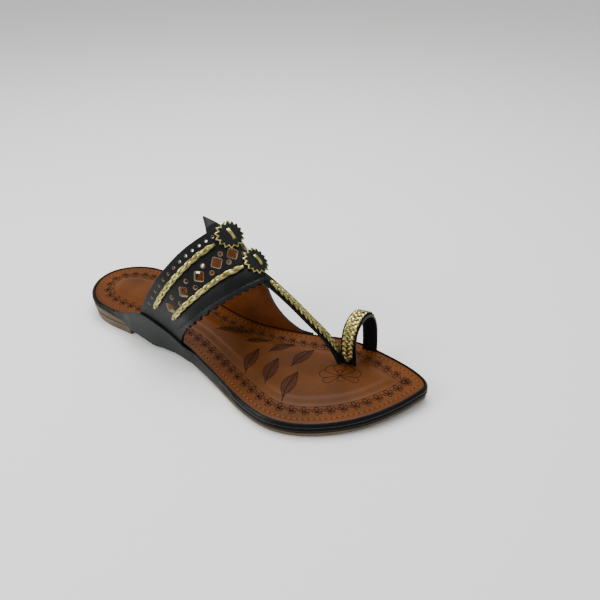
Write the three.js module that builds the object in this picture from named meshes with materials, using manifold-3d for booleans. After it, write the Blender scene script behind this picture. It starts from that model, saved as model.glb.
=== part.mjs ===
// Right-foot sandal: layered flat sole, padded footbed, and a leather upper made of an
// instep band, a T-strap and a toe ring, trimmed with braids and two rosettes.
// Millimetres. +X runs from heel to toe, +Y to the big-toe (medial) side, +Z up.
import * as THREE from 'three';
import Module from 'manifold-3d';

const wasm = await Module();
wasm.setup();

const LATERAL = -1;
const MEDIAL = 1;
const GAP = 0.3; // clearance between pieces that are glued or sewn together
const WELD = 1e-4; // vertices nearer than this are one vertex
const TURN_STEP = 0.01; // small steps over which directions along a curve are taken
const SHARE_STEP = 0.004;
const EDGE_SAMPLES = 180;
const OVER_SAMPLES = 240;

// Sole, along the foot
const SOLE_LENGTH = 250;
const TOE_SWEEP = 27; // how far the tip leans to the big-toe side
const TOE_SWEEP_START = 150;
const HEEL_TOP = 16; // footbed edge above the floor
const FOREFOOT_TOP = 9;
const SLOPE_START = 55;
const SLOPE_END = 145;
const TOE_SPRING = 2.8;
const TOE_SPRING_START = 200;
const HEEL_LIFT = 7; // outsole above the floor at the heel
const BREAST_X = 53; // front face of the heel block
const ARCH_START = 58;
const ARCH_END = 92;

// Half widths of the footbed on each side of the foot's axis
const SOLE_ROWS = [
  { along: 0, medial: 0, lateral: 0 },
  { along: 2.5, medial: 9.9, lateral: 10.9 },
  { along: 10, medial: 18.8, lateral: 20.6 },
  { along: 20, medial: 24.6, lateral: 26.3 },
  { along: 32.5, medial: 27.4, lateral: 28.2 },
  { along: 50, medial: 27.4, lateral: 27.4 },
  { along: 75, medial: 24.4, lateral: 26.1 },
  { along: 100, medial: 21.2, lateral: 23.9 },
  { along: 125, medial: 22.4, lateral: 29.2 },
  { along: 150, medial: 28.9, lateral: 36.9 },
  { along: 170, medial: 34.4, lateral: 43.3 },
  { along: 185, medial: 38.4, lateral: 46.4 },
  { along: 200, medial: 37.2, lateral: 45.4 },
  { along: 217.5, medial: 30.1, lateral: 39.1 },
  { along: 232.5, medial: 20.9, lateral: 29 },
  { along: 242.5, medial: 12.3, lateral: 16.8 },
  { along: 248.3, medial: 5.2, lateral: 5.6 },
  { along: 250, medial: 0, lateral: 0 },
];

// Sole layers
const OUTSOLE_THICKNESS = 3;
const OUTSOLE_RIM = 2; // outsole edge outside the footbed edge
const OUTSOLE_INSET = 0.2; // outsole bottom inside the footbed edge
const HEEL_FOOT_RIM = 0.4; // heel bottom outside the footbed edge
const HEEL_HEAD_RIM = 1.2; // heel top outside the footbed edge
const RAND_RIM = 2.4; // widest part of the rounded rand outside the footbed edge
const RAND_WAIST_RIM = 1.4; // the same, under the side covers
const RAND_ROWS = [ // rounded side: share of the widest part, from bottom to top
  { level: 0, share: 0.4 },
  { level: 0.2, share: 0.85 },
  { level: 0.5, share: 1 },
  { level: 0.8, share: 0.85 },
  { level: 1, share: 0.35 },
];
const FOOTBED_THICKNESS = 2.4;
const FOOTBED_ROUND = 0.7;
const CUSHION_RISE = 2.2; // padded centre above the flat border
const CUSHION_BORDER = 13; // flat border between edge and padding
const CUSHION_SHOULDER = 7;
const STATIONS = 38;
const CUSHION_LANES = 12;

// Instep band: outer surface, one row from the lateral foot over the crown to the medial foot
const BAND_ROWS = [
  { rearX: 62, rearY: -29.5, rearZ: 7, frontX: 98, frontY: -26, frontZ: 4 },
  { rearX: 71, rearY: -30.3, rearZ: 28, frontX: 107, frontY: -27.5, frontZ: 24 },
  { rearX: 84.5, rearY: -30.5, rearZ: 51, frontX: 122.5, frontY: -29, frontZ: 42 },
  { rearX: 96, rearY: -27.5, rearZ: 68, frontX: 135, frontY: -23.5, frontZ: 54.5 },
  { rearX: 107.5, rearY: -17, rearZ: 83.3, frontX: 146.5, frontY: -11.5, frontZ: 63 },
  { rearX: 118.5, rearY: 4, rearZ: 93.2, frontX: 153, frontY: 4, frontZ: 65.4 },
  { rearX: 108.5, rearY: 22, rearZ: 84, frontX: 139, frontY: 15, frontZ: 58.5 },
  { rearX: 96.5, rearY: 30, rearZ: 67.5, frontX: 133, frontY: 22, frontZ: 46 },
  { rearX: 84.5, rearY: 32.5, rearZ: 50, frontX: 134.5, frontY: 26.5, frontZ: 32.5 },
  { rearX: 71.5, rearY: 31, rearZ: 28, frontX: 145.5, frontY: 30.5, frontZ: 17.5 },
  { rearX: 62.5, rearY: 29.5, rearZ: 7, frontX: 168, frontY: 33, frontZ: 4 },
];
const CROWN_ROW = 5;
const WALL = 2.4; // leather and lining
const WALL_LEAN = 0.12; // outward lean of the wall above the footbed edge
const WALL_FOLLOWS_SOLE_TO = 30; // below this height the wall follows the sole's edge
const WALL_FREE_FROM = 56;
const PATTERN_LINE = 19; // distance from the rear edge at which lengths over the foot are taken
const BAND_PLAIN_STEP = 4; // spacing of the band's sections away from the scallops
const BAND_LANES = 8;
const SCALLOP_PITCH = 6.2;
const SCALLOP_FACETS = 3;
const SCALLOP_DEPTH = 1.7;
const SCALLOP_START = -78; // over-the-foot stretch with a scalloped front edge
const SCALLOP_COUNT = 15;

// Cut-outs in the band
const DIAMOND_MIDDLE = 4; // the row of diamonds is the same on both sides of this place over the foot
const DIAMOND_PLACES = [0, 11, 22, 35.5, 50.5, 68.5];
const DIAMOND_HALF = 2.9;
const DIAMOND_SIDES = 4;
const ROUND_HOLE_RADIUS = 1.35;
const ROUND_HOLE_SPREAD = 3.5;
const ROUND_HOLE_SIDES = 6;
const CUTTER_REACH = 3;
const CLEARANCE_REACH = 12; // room taken by the sole under the upper
const CLEARANCE_DEPTH = 60;

// Pointed tab behind the crown
const TAB_REACH = 10.5;
const TAB_HALF_WIDTH = 5;
const TAB_ROOT = 4;
const TAB_THICKNESS = 1.4;
const TAB_DEPTH = 1.7; // middle of the tab below the band's outer skin
const TAB_BEND = 3; // the tab follows the band up to here, then bends down by the rise
const TAB_RISE = -3.5;
const TAB_TIP_HALF_WIDTH = 0.5;
const TAB_AT = -5;

// T-strap and toe ring, centre lines
const T_STRAP_POINTS = [
  { x: 147, y: 3.6, z: 67.6 },
  { x: 154, y: 4.6, z: 63.4 },
  { x: 165.4, y: 8.5, z: 52.6 },
  { x: 177, y: 12.7, z: 40 },
  { x: 187, y: 16.2, z: 29 },
  { x: 193.4, y: 18.2, z: 19 },
  { x: 196.4, y: 19.2, z: 12.5 },
  { x: 199.5, y: 20.2, z: 6 },
];
const T_STRAP_WIDTH = 6;
const T_STRAP_THICKNESS = 2.2;
const RING_POINTS = [
  { x: 202, y: 21, z: 6 },
  { x: 201.5, y: 20, z: 18 },
  { x: 200.9, y: 20.2, z: 30 },
  { x: 200.7, y: 23.6, z: 38 },
  { x: 200.9, y: 31.5, z: 41.6 },
  { x: 201.6, y: 39.4, z: 38 },
  { x: 203, y: 42.8, z: 30 },
  { x: 204.4, y: 43, z: 18 },
  { x: 205.4, y: 42, z: 6 },
];
const RING_WIDTH = 9.6;
const RING_THICKNESS = 2;
const RING_ALONG = new THREE.Vector3(-0.97, -0.24, 0).normalize(); // along the toe, to the heel

// Side covers: black leather over the side of the waist, upper edge along the foot
const COVER_THICKNESS = 1.1;
const COVER_STEPS = 24;
const COVER_LANES = 3;
const COVER_ABOVE_OUTSOLE = 0.4;
const COVER_END_GAP = 3; // the rand is narrowed this far past a cover's ends
const COVER_FADE = 12; // length over which a cover leaves the band's wall for the rand's edge
const BAND_FOOT = { [LATERAL]: { from: 60, to: 105 }, [MEDIAL]: { from: 60, to: 170 } };
const COVER_ROWS = {
  [LATERAL]: [
    { along: 36, top: 14.6 },
    { along: 52, top: 19.5 },
    { along: 66, top: 26.5 },
    { along: 76, top: 28 },
    { along: 90, top: 21.5 },
    { along: 104, top: 14 },
    { along: 120, top: 10.2 },
    { along: 146, top: 7.6 },
  ],
  [MEDIAL]: [
    { along: 36, top: 14.6 },
    { along: 54, top: 20 },
    { along: 68, top: 25 },
    { along: 80, top: 25 },
    { along: 100, top: 19 },
    { along: 125, top: 12.6 },
    { along: 148, top: 9 },
    { along: 165, top: 7.6 },
  ],
};

// Trim
const TRIM_GAP = 0.45; // trim and covers stand this far off the curved band
const BRAID_WIDTH = 4.2;
const BRAID_THICKNESS = 1.5;
const BRAID_STEPS = 20;
const BRAID_BACK = { // distance from the band's rear edge at the crown and at the foot of the band
  rear: { crown: 8.8, foot: 9.5 },
  front: { crown: 30, foot: 25 },
};
const BRAID_LATERAL_END = -72;
const BRAID_MEDIAL_END = 70;
const BRAID_TO_ROSETTE = 0.6;
const T_BRAID_WIDTH = 3.8;
const T_BRAID_SPAN = { from: 4, to: 26 }; // in steps of its strap
const RING_BRAID_WIDTH = 8;
const RING_BRAID_THICKNESS = 1.3;
const RING_BRAID_SPAN = { from: 5, to: 30 };
const STRAP_STEPS = 32;
const ROSETTES = [
  { name: 'rear', over: -1, back: 8.8 },
  { name: 'front', over: 1.5, back: 30.5 },
];
const ROSETTE_TEETH = 15;
const GOLD_DISC_RADIUS = 9;
const GOLD_DISC_THICKNESS = 0.9;
const BLACK_DISC_RADIUS = 7.4;
const BLACK_DISC_THICKNESS = 1;
const TOOTH_DEPTH = 1.3;
const THONG_LENGTH = 8;
const THONG_WIDTH = 2;
const THONG_THICKNESS = 1.1;

const FINISH = {
  outsole: { color: '#5c5138', roughness: 0.75 },
  heel: { color: '#6b5c47', roughness: 0.7 },
  blackLeather: { color: '#232423', roughness: 0.5 },
  tanLeather: { color: '#7a4a22', roughness: 0.55 },
  gold: { color: '#a8945a', roughness: 0.4 },
};

// Small numeric helpers
function clamp01(value) {
  return Math.min(1, Math.max(0, value));
}

function smoothStep(low, high, value) {
  const share = clamp01((value - low) / (high - low));
  return share * share * (3 - 2 * share);
}

function mix(from, to, share) {
  return from + (to - from) * share;
}

// Smooth curve through one column of a table, over increasing positions
function throughColumn(positions, values) {
  const last = positions.length - 1;
  const slope = (i) => {
    const low = Math.max(0, i - 1);
    const high = Math.min(last, i + 1);
    return (values[high] - values[low]) / (positions[high] - positions[low]);
  };
  return (position) => {
    let i = 0;
    while (i < last - 1 && position > positions[i + 1]) i += 1;
    const step = positions[i + 1] - positions[i];
    const t = clamp01((position - positions[i]) / step);
    const fromStart = (1 + 2 * t) * (1 - t) * (1 - t) * values[i] + t * (1 - t) * (1 - t) * step * slope(i);
    const fromEnd = t * t * (3 - 2 * t) * values[i + 1] - t * t * (1 - t) * step * slope(i + 1);
    return fromStart + fromEnd;
  };
}

// Closed bodies
class Body {
  constructor() {
    this.keys = new Map();
    this.points = [];
    this.triangles = [];
  }

  vertex(point) {
    const key = [point.x, point.y, point.z].map((value) => Math.round(value / WELD)).join(' ');
    if (!this.keys.has(key)) {
      this.keys.set(key, this.points.length / 3);
      this.points.push(point.x, point.y, point.z);
    }
    return this.keys.get(key);
  }

  triangle(a, b, c) {
    if (a !== b && b !== c && a !== c) this.triangles.push(a, b, c);
  }

  quad(a, b, c, d) {
    this.triangle(a, b, c);
    this.triangle(a, c, d);
  }

  solid() {
    const mesh = new wasm.Mesh({
      numProp: 3,
      vertProperties: new Float32Array(this.points),
      triVerts: new Uint32Array(this.triangles),
    });
    return new wasm.Manifold(mesh);
  }
}

// Skin over closed rings of points; each capped end is closed by a fan
function loftRings(rings, caps) {
  const body = new Body();
  const indices = rings.map((ring) => ring.map((point) => body.vertex(point)));
  const count = rings[0].length;
  for (let i = 0; i + 1 < rings.length; i += 1) {
    for (let k = 0; k < count; k += 1) {
      const next = (k + 1) % count;
      body.quad(indices[i][k], indices[i][next], indices[i + 1][next], indices[i + 1][k]);
    }
  }
  const first = indices[0];
  const last = indices[rings.length - 1];
  for (let k = 1; k + 1 < count; k += 1) {
    if (caps.start) body.triangle(first[0], first[k + 1], first[k]);
    if (caps.end) body.triangle(last[0], last[k], last[k + 1]);
  }
  return body.solid();
}

// Even places from one value to another, both included
function evenly(from, to, count) {
  return Array.from({ length: count + 1 }, (_, i) => mix(from, to, i / count));
}

// Sheet of leather between an outer and an inner skin, on a grid of places along and shares across
function sheet(places, shares, outerAt, innerAt) {
  const body = new Body();
  const skin = (pointAt) => places.map((place) => shares.map((share) => body.vertex(pointAt(place, share))));
  const outer = skin(outerAt);
  const inner = skin(innerAt);
  const steps = places.length - 1;
  const lanes = shares.length - 1;
  for (let i = 0; i < steps; i += 1) {
    for (let j = 0; j < lanes; j += 1) {
      body.quad(outer[i][j], outer[i][j + 1], outer[i + 1][j + 1], outer[i + 1][j]);
      body.quad(inner[i][j], inner[i + 1][j], inner[i + 1][j + 1], inner[i][j + 1]);
    }
    body.quad(outer[i][0], outer[i + 1][0], inner[i + 1][0], inner[i][0]);
    body.quad(outer[i][lanes], inner[i][lanes], inner[i + 1][lanes], outer[i + 1][lanes]);
  }
  for (let j = 0; j < lanes; j += 1) {
    body.quad(outer[0][j], inner[0][j], inner[0][j + 1], outer[0][j + 1]);
    body.quad(outer[steps][j], outer[steps][j + 1], inner[steps][j + 1], inner[steps][j]);
  }
  return body.solid();
}

// Sole outline and heights
const turnOf = (along) => Math.acos(1 - (2 * along) / SOLE_LENGTH);
const soleTurns = SOLE_ROWS.map((row) => turnOf(row.along));
const halfWidthAt = {
  [MEDIAL]: throughColumn(soleTurns, SOLE_ROWS.map((row) => row.medial)),
  [LATERAL]: throughColumn(soleTurns, SOLE_ROWS.map((row) => row.lateral)),
};

function toeSweep(x) {
  const share = clamp01((x - TOE_SWEEP_START) / (SOLE_LENGTH - TOE_SWEEP_START));
  return TOE_SWEEP * share * share;
}

function edgeAtTurn(turn, side) {
  const x = (SOLE_LENGTH * (1 - Math.cos(turn))) / 2;
  return new THREE.Vector2(x, side * halfWidthAt[side](turn) + toeSweep(x));
}

function edgeY(x, side) {
  return edgeAtTurn(turnOf(Math.min(SOLE_LENGTH, Math.max(0, x))), side).y;
}

// Outline point moved outwards by a distance square to the outline
function outlinePoint(turn, side, outward) {
  const before = edgeAtTurn(Math.max(0, turn - TURN_STEP), side);
  const after = edgeAtTurn(Math.min(Math.PI, turn + TURN_STEP), side);
  const atTip = turn < TURN_STEP / 2 || turn > Math.PI - TURN_STEP / 2;
  const tangent = atTip ? new THREE.Vector2(0, turn < 1 ? side : -side) : after.sub(before).normalize();
  const normal = new THREE.Vector2(-tangent.y, tangent.x).multiplyScalar(side);
  return edgeAtTurn(turn, side).addScaledVector(normal, outward);
}

function toeSpring(x) {
  const share = clamp01((x - TOE_SPRING_START) / (SOLE_LENGTH - TOE_SPRING_START));
  return TOE_SPRING * share * share;
}

function footbedTop(x) {
  return mix(HEEL_TOP, FOREFOOT_TOP, smoothStep(SLOPE_START, SLOPE_END, x)) + toeSpring(x);
}

function outsoleBottom(x) {
  return HEEL_LIFT * (1 - smoothStep(ARCH_START, ARCH_END, x)) + toeSpring(x);
}

function outsoleTop(x) {
  return outsoleBottom(x) + OUTSOLE_THICKNESS;
}

function randTop(x) {
  return footbedTop(x) - FOOTBED_THICKNESS - GAP;
}

const outlineSamples = [MEDIAL, LATERAL].flatMap((side) =>
  evenly(0, Math.PI, EDGE_SAMPLES).map((turn) => edgeAtTurn(turn, side)));

function edgeDistance(x, y) {
  const spot = new THREE.Vector2(x, y);
  return Math.min(...outlineSamples.map((sample) => sample.distanceTo(spot)));
}

function cushionHeight(x, y) {
  const inside = edgeDistance(x, y);
  return CUSHION_RISE * smoothStep(CUSHION_BORDER, CUSHION_BORDER + CUSHION_SHOULDER, inside);
}

// One layer of the sole: rim lists how far out the side stands from bottom (level 0) to top (level 1)
function soleLayer({ rim, bottom, top, raise = () => 0, lanes = 1, endX = SOLE_LENGTH }) {
  const whole = endX === SOLE_LENGTH;
  const lastTurn = turnOf(endX);
  const ringAt = (turn) => {
    const sidePoint = (side, row) => {
      const outward = typeof row.outward === 'function' ? row.outward(turn, side) : row.outward;
      const flat = outlinePoint(turn, side, outward);
      return new THREE.Vector3(flat.x, flat.y, mix(bottom(flat.x), top(flat.x), row.level));
    };
    const lateral = rim.map((row) => sidePoint(LATERAL, row));
    const medial = rim.map((row) => sidePoint(MEDIAL, row));
    const over = Array.from({ length: lanes - 1 }, (_, k) => {
      const point = new THREE.Vector3().lerpVectors(lateral.at(-1), medial.at(-1), (k + 1) / lanes);
      point.z = top(point.x) + raise(point.x, point.y);
      return point;
    });
    return [...lateral, ...over, ...medial.reverse()].reverse();
  };
  return loftRings(evenly(0, lastTurn, STATIONS).map(ringAt), { start: false, end: !whole });
}

const footbedRim = [
  { outward: 0, level: 0 },
  { outward: 0, level: 1 - FOOTBED_ROUND / FOOTBED_THICKNESS },
  { outward: -FOOTBED_ROUND, level: 1 },
];

function buildFootbed() {
  return soleLayer({
    rim: footbedRim,
    bottom: (x) => footbedTop(x) - FOOTBED_THICKNESS,
    top: footbedTop,
    raise: cushionHeight,
    lanes: CUSHION_LANES,
  });
}

// Share of a stretch of the sole's side that a place belongs to, fading at both ends
function within(x, stretch, fade) {
  return smoothStep(stretch.from - fade, stretch.from, x) * (1 - smoothStep(stretch.to, stretch.to + fade, x));
}

function coverStretch(side) {
  const rows = COVER_ROWS[side];
  return { from: rows[0].along - COVER_END_GAP, to: rows.at(-1).along + COVER_END_GAP };
}

function randRim(share) {
  return (turn, side) => {
    const covered = within(edgeAtTurn(turn, side).x, coverStretch(side), COVER_FADE);
    return share * mix(RAND_RIM, RAND_WAIST_RIM, covered);
  };
}

function buildRand() {
  return soleLayer({
    rim: RAND_ROWS.map((row) => ({ outward: randRim(row.share), level: row.level })),
    bottom: (x) => outsoleTop(x) + GAP,
    top: randTop,
  });
}

function buildOutsole() {
  return soleLayer({
    rim: [
      { outward: -OUTSOLE_INSET, level: 0 },
      { outward: OUTSOLE_RIM, level: 0.4 },
      { outward: OUTSOLE_RIM, level: 1 },
    ],
    bottom: outsoleBottom,
    top: outsoleTop,
  });
}

function buildHeelBlock() {
  return soleLayer({
    rim: [
      { outward: HEEL_FOOT_RIM, level: 0 },
      { outward: HEEL_HEAD_RIM, level: 1 },
    ],
    bottom: () => 0,
    top: () => HEEL_LIFT - GAP,
    endX: BREAST_X,
  });
}

// Instep band, as lengths over the foot (from the crown, medial positive) and back (from the rear edge)
const rearEdge = new THREE.CatmullRomCurve3(
  BAND_ROWS.map((row) => new THREE.Vector3(row.rearX, row.rearY, row.rearZ)));
const frontEdge = new THREE.CatmullRomCurve3(
  BAND_ROWS.map((row) => new THREE.Vector3(row.frontX, row.frontY, row.frontZ)));
const CROWN_SHARE = CROWN_ROW / (BAND_ROWS.length - 1);

function bandWidth(share) {
  return rearEdge.getPoint(share).distanceTo(frontEdge.getPoint(share));
}

// Wall of the upper beside the footbed: distance out of the foot's axis at a height
function wallY(x, z, side) {
  const lean = WALL_LEAN * Math.max(0, z - footbedTop(x));
  return edgeY(x, side) + side * (GAP + WALL + lean);
}

function bandSkin(share, back) {
  const point = rearEdge.getPoint(share).lerp(frontEdge.getPoint(share), back / bandWidth(share));
  const side = share < CROWN_SHARE ? LATERAL : MEDIAL;
  const free = smoothStep(WALL_FOLLOWS_SOLE_TO, WALL_FREE_FROM, point.z);
  point.y = mix(wallY(point.x, point.z, side), point.y, free);
  return point;
}

const overTable = [{ share: 0, over: 0 }];
for (let i = 1; i <= OVER_SAMPLES; i += 1) {
  const share = i / OVER_SAMPLES;
  const step = bandSkin(share, PATTERN_LINE).distanceTo(bandSkin(overTable[i - 1].share, PATTERN_LINE));
  overTable.push({ share, over: overTable[i - 1].over + step });
}
const crownOver = overTable.find((row) => row.share >= CROWN_SHARE).over;
const BAND_START = -crownOver;
const BAND_END = overTable.at(-1).over - crownOver;

function shareAt(over) {
  const target = over + crownOver;
  let i = 0;
  while (i < OVER_SAMPLES - 1 && target > overTable[i + 1].over) i += 1;
  const part = clamp01((target - overTable[i].over) / (overTable[i + 1].over - overTable[i].over));
  return mix(overTable[i].share, overTable[i + 1].share, part);
}

// Point of the band, raised outwards from its outer skin
function bandPoint(over, back, raised) {
  const share = shareAt(over);
  const low = Math.max(0, share - SHARE_STEP);
  const high = Math.min(1, share + SHARE_STEP);
  const along = bandSkin(high, back).sub(bandSkin(low, back));
  const across = bandSkin(share, back + 1).sub(bandSkin(share, back - 1));
  const normal = across.cross(along).normalize();
  return bandSkin(share, back).addScaledVector(normal, raised);
}

function frontReach(over) {
  const full = bandWidth(shareAt(over));
  if (over < SCALLOP_START || over > SCALLOP_START + SCALLOP_COUNT * SCALLOP_PITCH) return full;
  const phase = (Math.PI * (over - SCALLOP_START)) / SCALLOP_PITCH;
  return full - SCALLOP_DEPTH * (1 - Math.abs(Math.sin(phase)));
}

// Sections of the whole band: close together along the scallops, plain elsewhere
function bandPlaces() {
  const scallopEnd = SCALLOP_START + SCALLOP_COUNT * SCALLOP_PITCH;
  const plain = (from, to) => evenly(from, to, Math.ceil((to - from) / BAND_PLAIN_STEP));
  return [
    ...plain(BAND_START, SCALLOP_START).slice(0, -1),
    ...evenly(SCALLOP_START, scallopEnd, SCALLOP_COUNT * SCALLOP_FACETS),
    ...plain(scallopEnd, BAND_END).slice(1),
  ];
}

// Piece that lies on the band, at places over the foot, between two distances from the rear edge
function onBand(places, lanes, from, to, low, high) {
  const skinAt = (raised) => (over, share) => bandPoint(over, mix(from(over), to(over), share), raised);
  return sheet(places, evenly(0, 1, lanes), skinAt(high), skinAt(low));
}

// Straight-sided cutter through the band around a small closed outline
function bandCutter(over, back, outline) {
  const ring = (raised) => outline.map((spot) => bandPoint(over + spot.x, back + spot.y, raised));
  return loftRings([ring(CUTTER_REACH), ring(-WALL - CUTTER_REACH)], { start: true, end: true });
}

function roundOutline(radius, sides) {
  return Array.from({ length: sides }, (_, k) => {
    const angle = (2 * Math.PI * k) / sides;
    return new THREE.Vector2(radius * Math.cos(angle), radius * Math.sin(angle));
  });
}

function bandCutters() {
  const cutters = [];
  const diamond = roundOutline(DIAMOND_HALF, DIAMOND_SIDES);
  const hole = roundOutline(ROUND_HOLE_RADIUS, ROUND_HOLE_SIDES);
  for (const side of [LATERAL, MEDIAL]) {
    const places = DIAMOND_PLACES.map((place) => DIAMOND_MIDDLE + side * place);
    places.forEach((over, k) => {
      if (k > 0) {
        const between = (over + places[k - 1]) / 2;
        cutters.push(bandCutter(between, PATTERN_LINE - ROUND_HOLE_SPREAD, hole));
        cutters.push(bandCutter(between, PATTERN_LINE + ROUND_HOLE_SPREAD, hole));
      }
      if (k > 0 || side === LATERAL) cutters.push(bandCutter(over, PATTERN_LINE, diamond));
    });
  }
  return cutters;
}

// Flat strap along a centre line: width runs along widthAt(tangent), thickness square to both
function strap(points, { width, thickness, lift = 0, span = { from: 0, to: STRAP_STEPS }, widthAt }) {
  const line = new THREE.CatmullRomCurve3(points.map((p) => new THREE.Vector3(p.x, p.y, p.z)));
  const rings = evenly(span.from, span.to, span.to - span.from).map((step) => {
    const share = step / STRAP_STEPS;
    const centre = line.getPointAt(share);
    const tangent = line.getTangentAt(share);
    const across = widthAt(tangent);
    const outward = new THREE.Vector3().crossVectors(tangent, across).normalize();
    const corner = (w, t) => centre.clone().addScaledVector(across, w).addScaledVector(outward, t);
    const low = lift - thickness / 2;
    const high = lift + thickness / 2;
    return [
      corner(-width / 2, low), corner(width / 2, low), corner(width / 2, high), corner(-width / 2, high),
    ];
  });
  return loftRings(rings, { start: true, end: true });
}

// Level line square to the strap, towards the medial side of a strap that runs to the toe
function levelAcross(tangent) {
  return new THREE.Vector3(-tangent.y, tangent.x, 0).normalize();
}

// The ring's width lies along the toe, kept square to its centre line
function ringAcross(tangent) {
  return RING_ALONG.clone().addScaledVector(tangent, -RING_ALONG.dot(tangent)).normalize();
}

function buildTab() {
  const centre = bandPoint(TAB_AT, 0, -TAB_DEPTH);
  const back = bandPoint(TAB_AT, -1, -TAB_DEPTH).sub(centre).normalize();
  const up = bandPoint(TAB_AT, 0, 0).sub(centre).normalize();
  const across = new THREE.Vector3().crossVectors(up, back).normalize();
  const ring = (reach, half, rise) => {
    const middle = centre.clone().addScaledVector(back, reach).addScaledVector(up, rise);
    const corner = (w, t) => middle.clone().addScaledVector(across, w).addScaledVector(up, t);
    const skin = TAB_THICKNESS / 2;
    return [corner(-half, -skin), corner(half, -skin), corner(half, skin), corner(-half, skin)];
  };
  const rings = [
    ring(-TAB_ROOT, TAB_HALF_WIDTH, 0),
    ring(TAB_BEND, TAB_HALF_WIDTH * (1 - TAB_BEND / TAB_REACH), 0),
    ring(TAB_REACH, TAB_TIP_HALF_WIDTH, TAB_RISE),
  ];
  return loftRings(rings, { start: true, end: true });
}

// Wide body under the upper: what it covers is the part of the upper that the sole takes the place of
function soleClearance() {
  return soleLayer({
    rim: [{ outward: CLEARANCE_REACH, level: 0 }, { outward: CLEARANCE_REACH, level: 1 }],
    bottom: () => -CLEARANCE_DEPTH,
    top: (x) => randTop(Math.min(SOLE_LENGTH, Math.max(0, x))) + GAP,
  });
}

function footbedClearance() {
  return soleLayer({
    rim: [{ outward: GAP, level: 0 }, { outward: GAP, level: 1 }],
    bottom: () => 0,
    top: (x) => footbedTop(x) + GAP,
    raise: cushionHeight,
    lanes: CUSHION_LANES,
  });
}

function buildUpper() {
  let band = onBand(bandPlaces(), BAND_LANES, () => 0, frontReach, -WALL, 0);
  for (const cutter of bandCutters()) band = band.subtract(cutter);
  const tStrap = strap(T_STRAP_POINTS, {
    width: T_STRAP_WIDTH, thickness: T_STRAP_THICKNESS, widthAt: levelAcross,
  });
  const ring = strap(RING_POINTS, {
    width: RING_WIDTH, thickness: RING_THICKNESS, widthAt: ringAcross,
  });
  const joined = band.add(buildTab()).add(tStrap).add(ring);
  return joined.subtract(soleClearance()).subtract(footbedClearance());
}

// A cover lies on the rand's edge, and outside the band's wall where the band comes down
function coverSeat(x, side) {
  return mix(RAND_WAIST_RIM, GAP + WALL, within(x, BAND_FOOT[side], COVER_FADE)) + TRIM_GAP;
}

function buildCover(side) {
  const rows = COVER_ROWS[side];
  const topAt = throughColumn(rows.map((row) => row.along), rows.map((row) => row.top));
  const forward = evenly(rows[0].along, rows.at(-1).along, COVER_STEPS);
  const places = side === MEDIAL ? forward : forward.reverse();
  const skinAt = (out) => (x, share) => {
    const z = mix(outsoleTop(x) + COVER_ABOVE_OUTSOLE, topAt(x), share);
    const lean = WALL_LEAN * Math.max(0, z - footbedTop(x));
    return new THREE.Vector3(x, edgeY(x, side) + side * (coverSeat(x, side) + lean + out), z);
  };
  return sheet(places, evenly(0, 1, COVER_LANES), skinAt(COVER_THICKNESS), skinAt(0));
}

function buildBraidRun(name, from, to) {
  const low = TRIM_GAP;
  const high = TRIM_GAP + BRAID_THICKNESS;
  const { crown, foot } = BRAID_BACK[name];
  const middle = (over) => mix(crown, foot, clamp01(over / (over < 0 ? BRAID_LATERAL_END : BRAID_MEDIAL_END)));
  const rear = (over) => middle(over) - BRAID_WIDTH / 2;
  const front = (over) => middle(over) + BRAID_WIDTH / 2;
  return onBand(evenly(from, to, BRAID_STEPS), 1, rear, front, low, high);
}

function buildDisc(rosette, radius, low, high) {
  const body = new Body();
  const count = ROSETTE_TEETH * 2;
  const place = (r, k, raised) => {
    const angle = (2 * Math.PI * k) / count;
    return body.vertex(bandPoint(rosette.over + r * Math.cos(angle), rosette.back + r * Math.sin(angle), raised));
  };
  const reachAt = (k) => radius - (k % 2 ? TOOTH_DEPTH : 0);
  const radii = [0, 0.5, 1];
  const indexAt = (level, k, raised) => place(radii[level] * reachAt(k), k, raised);
  for (let k = 0; k < count; k += 1) {
    const next = (k + 1) % count;
    for (let level = 0; level + 1 < radii.length; level += 1) {
      const inOut = (raised) => [
        indexAt(level, k, raised), indexAt(level, next, raised),
        indexAt(level + 1, next, raised), indexAt(level + 1, k, raised),
      ];
      const [a, b, c, d] = inOut(high);
      body.quad(a, b, c, d);
      const [e, f, g, h] = inOut(low);
      body.quad(e, h, g, f);
    }
    body.quad(indexAt(2, k, high), indexAt(2, next, high), indexAt(2, next, low), indexAt(2, k, low));
  }
  return body.solid();
}

function buildThong(rosette, low) {
  const half = THONG_WIDTH / 2;
  const places = evenly(rosette.over - half, rosette.over + half, 2);
  const from = () => rosette.back - THONG_LENGTH / 2;
  const to = () => rosette.back + THONG_LENGTH / 2;
  return onBand(places, 2, from, to, low, low + THONG_THICKNESS);
}

// Named meshes
const sandal = new THREE.Group();
sandal.name = 'sandal';

function place(name, solid, finish) {
  const mesh = solid.getMesh();
  const geometry = new THREE.BufferGeometry();
  geometry.setAttribute('position', new THREE.BufferAttribute(new Float32Array(mesh.vertProperties), 3));
  geometry.setIndex(new THREE.BufferAttribute(new Uint32Array(mesh.triVerts), 1));
  geometry.computeVertexNormals();
  const material = new THREE.MeshStandardMaterial({ ...finish, metalness: 0 });
  const piece = new THREE.Mesh(geometry, material);
  piece.name = name;
  sandal.add(piece);
}

place('outsole', buildOutsole(), FINISH.outsole);
place('heel_block', buildHeelBlock(), FINISH.heel);
place('rand', buildRand(), FINISH.blackLeather);
place('footbed', buildFootbed(), FINISH.tanLeather);
place('upper', buildUpper(), FINISH.blackLeather);
place('side_cover_lateral', buildCover(LATERAL), FINISH.blackLeather);
place('side_cover_medial', buildCover(MEDIAL), FINISH.blackLeather);

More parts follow.
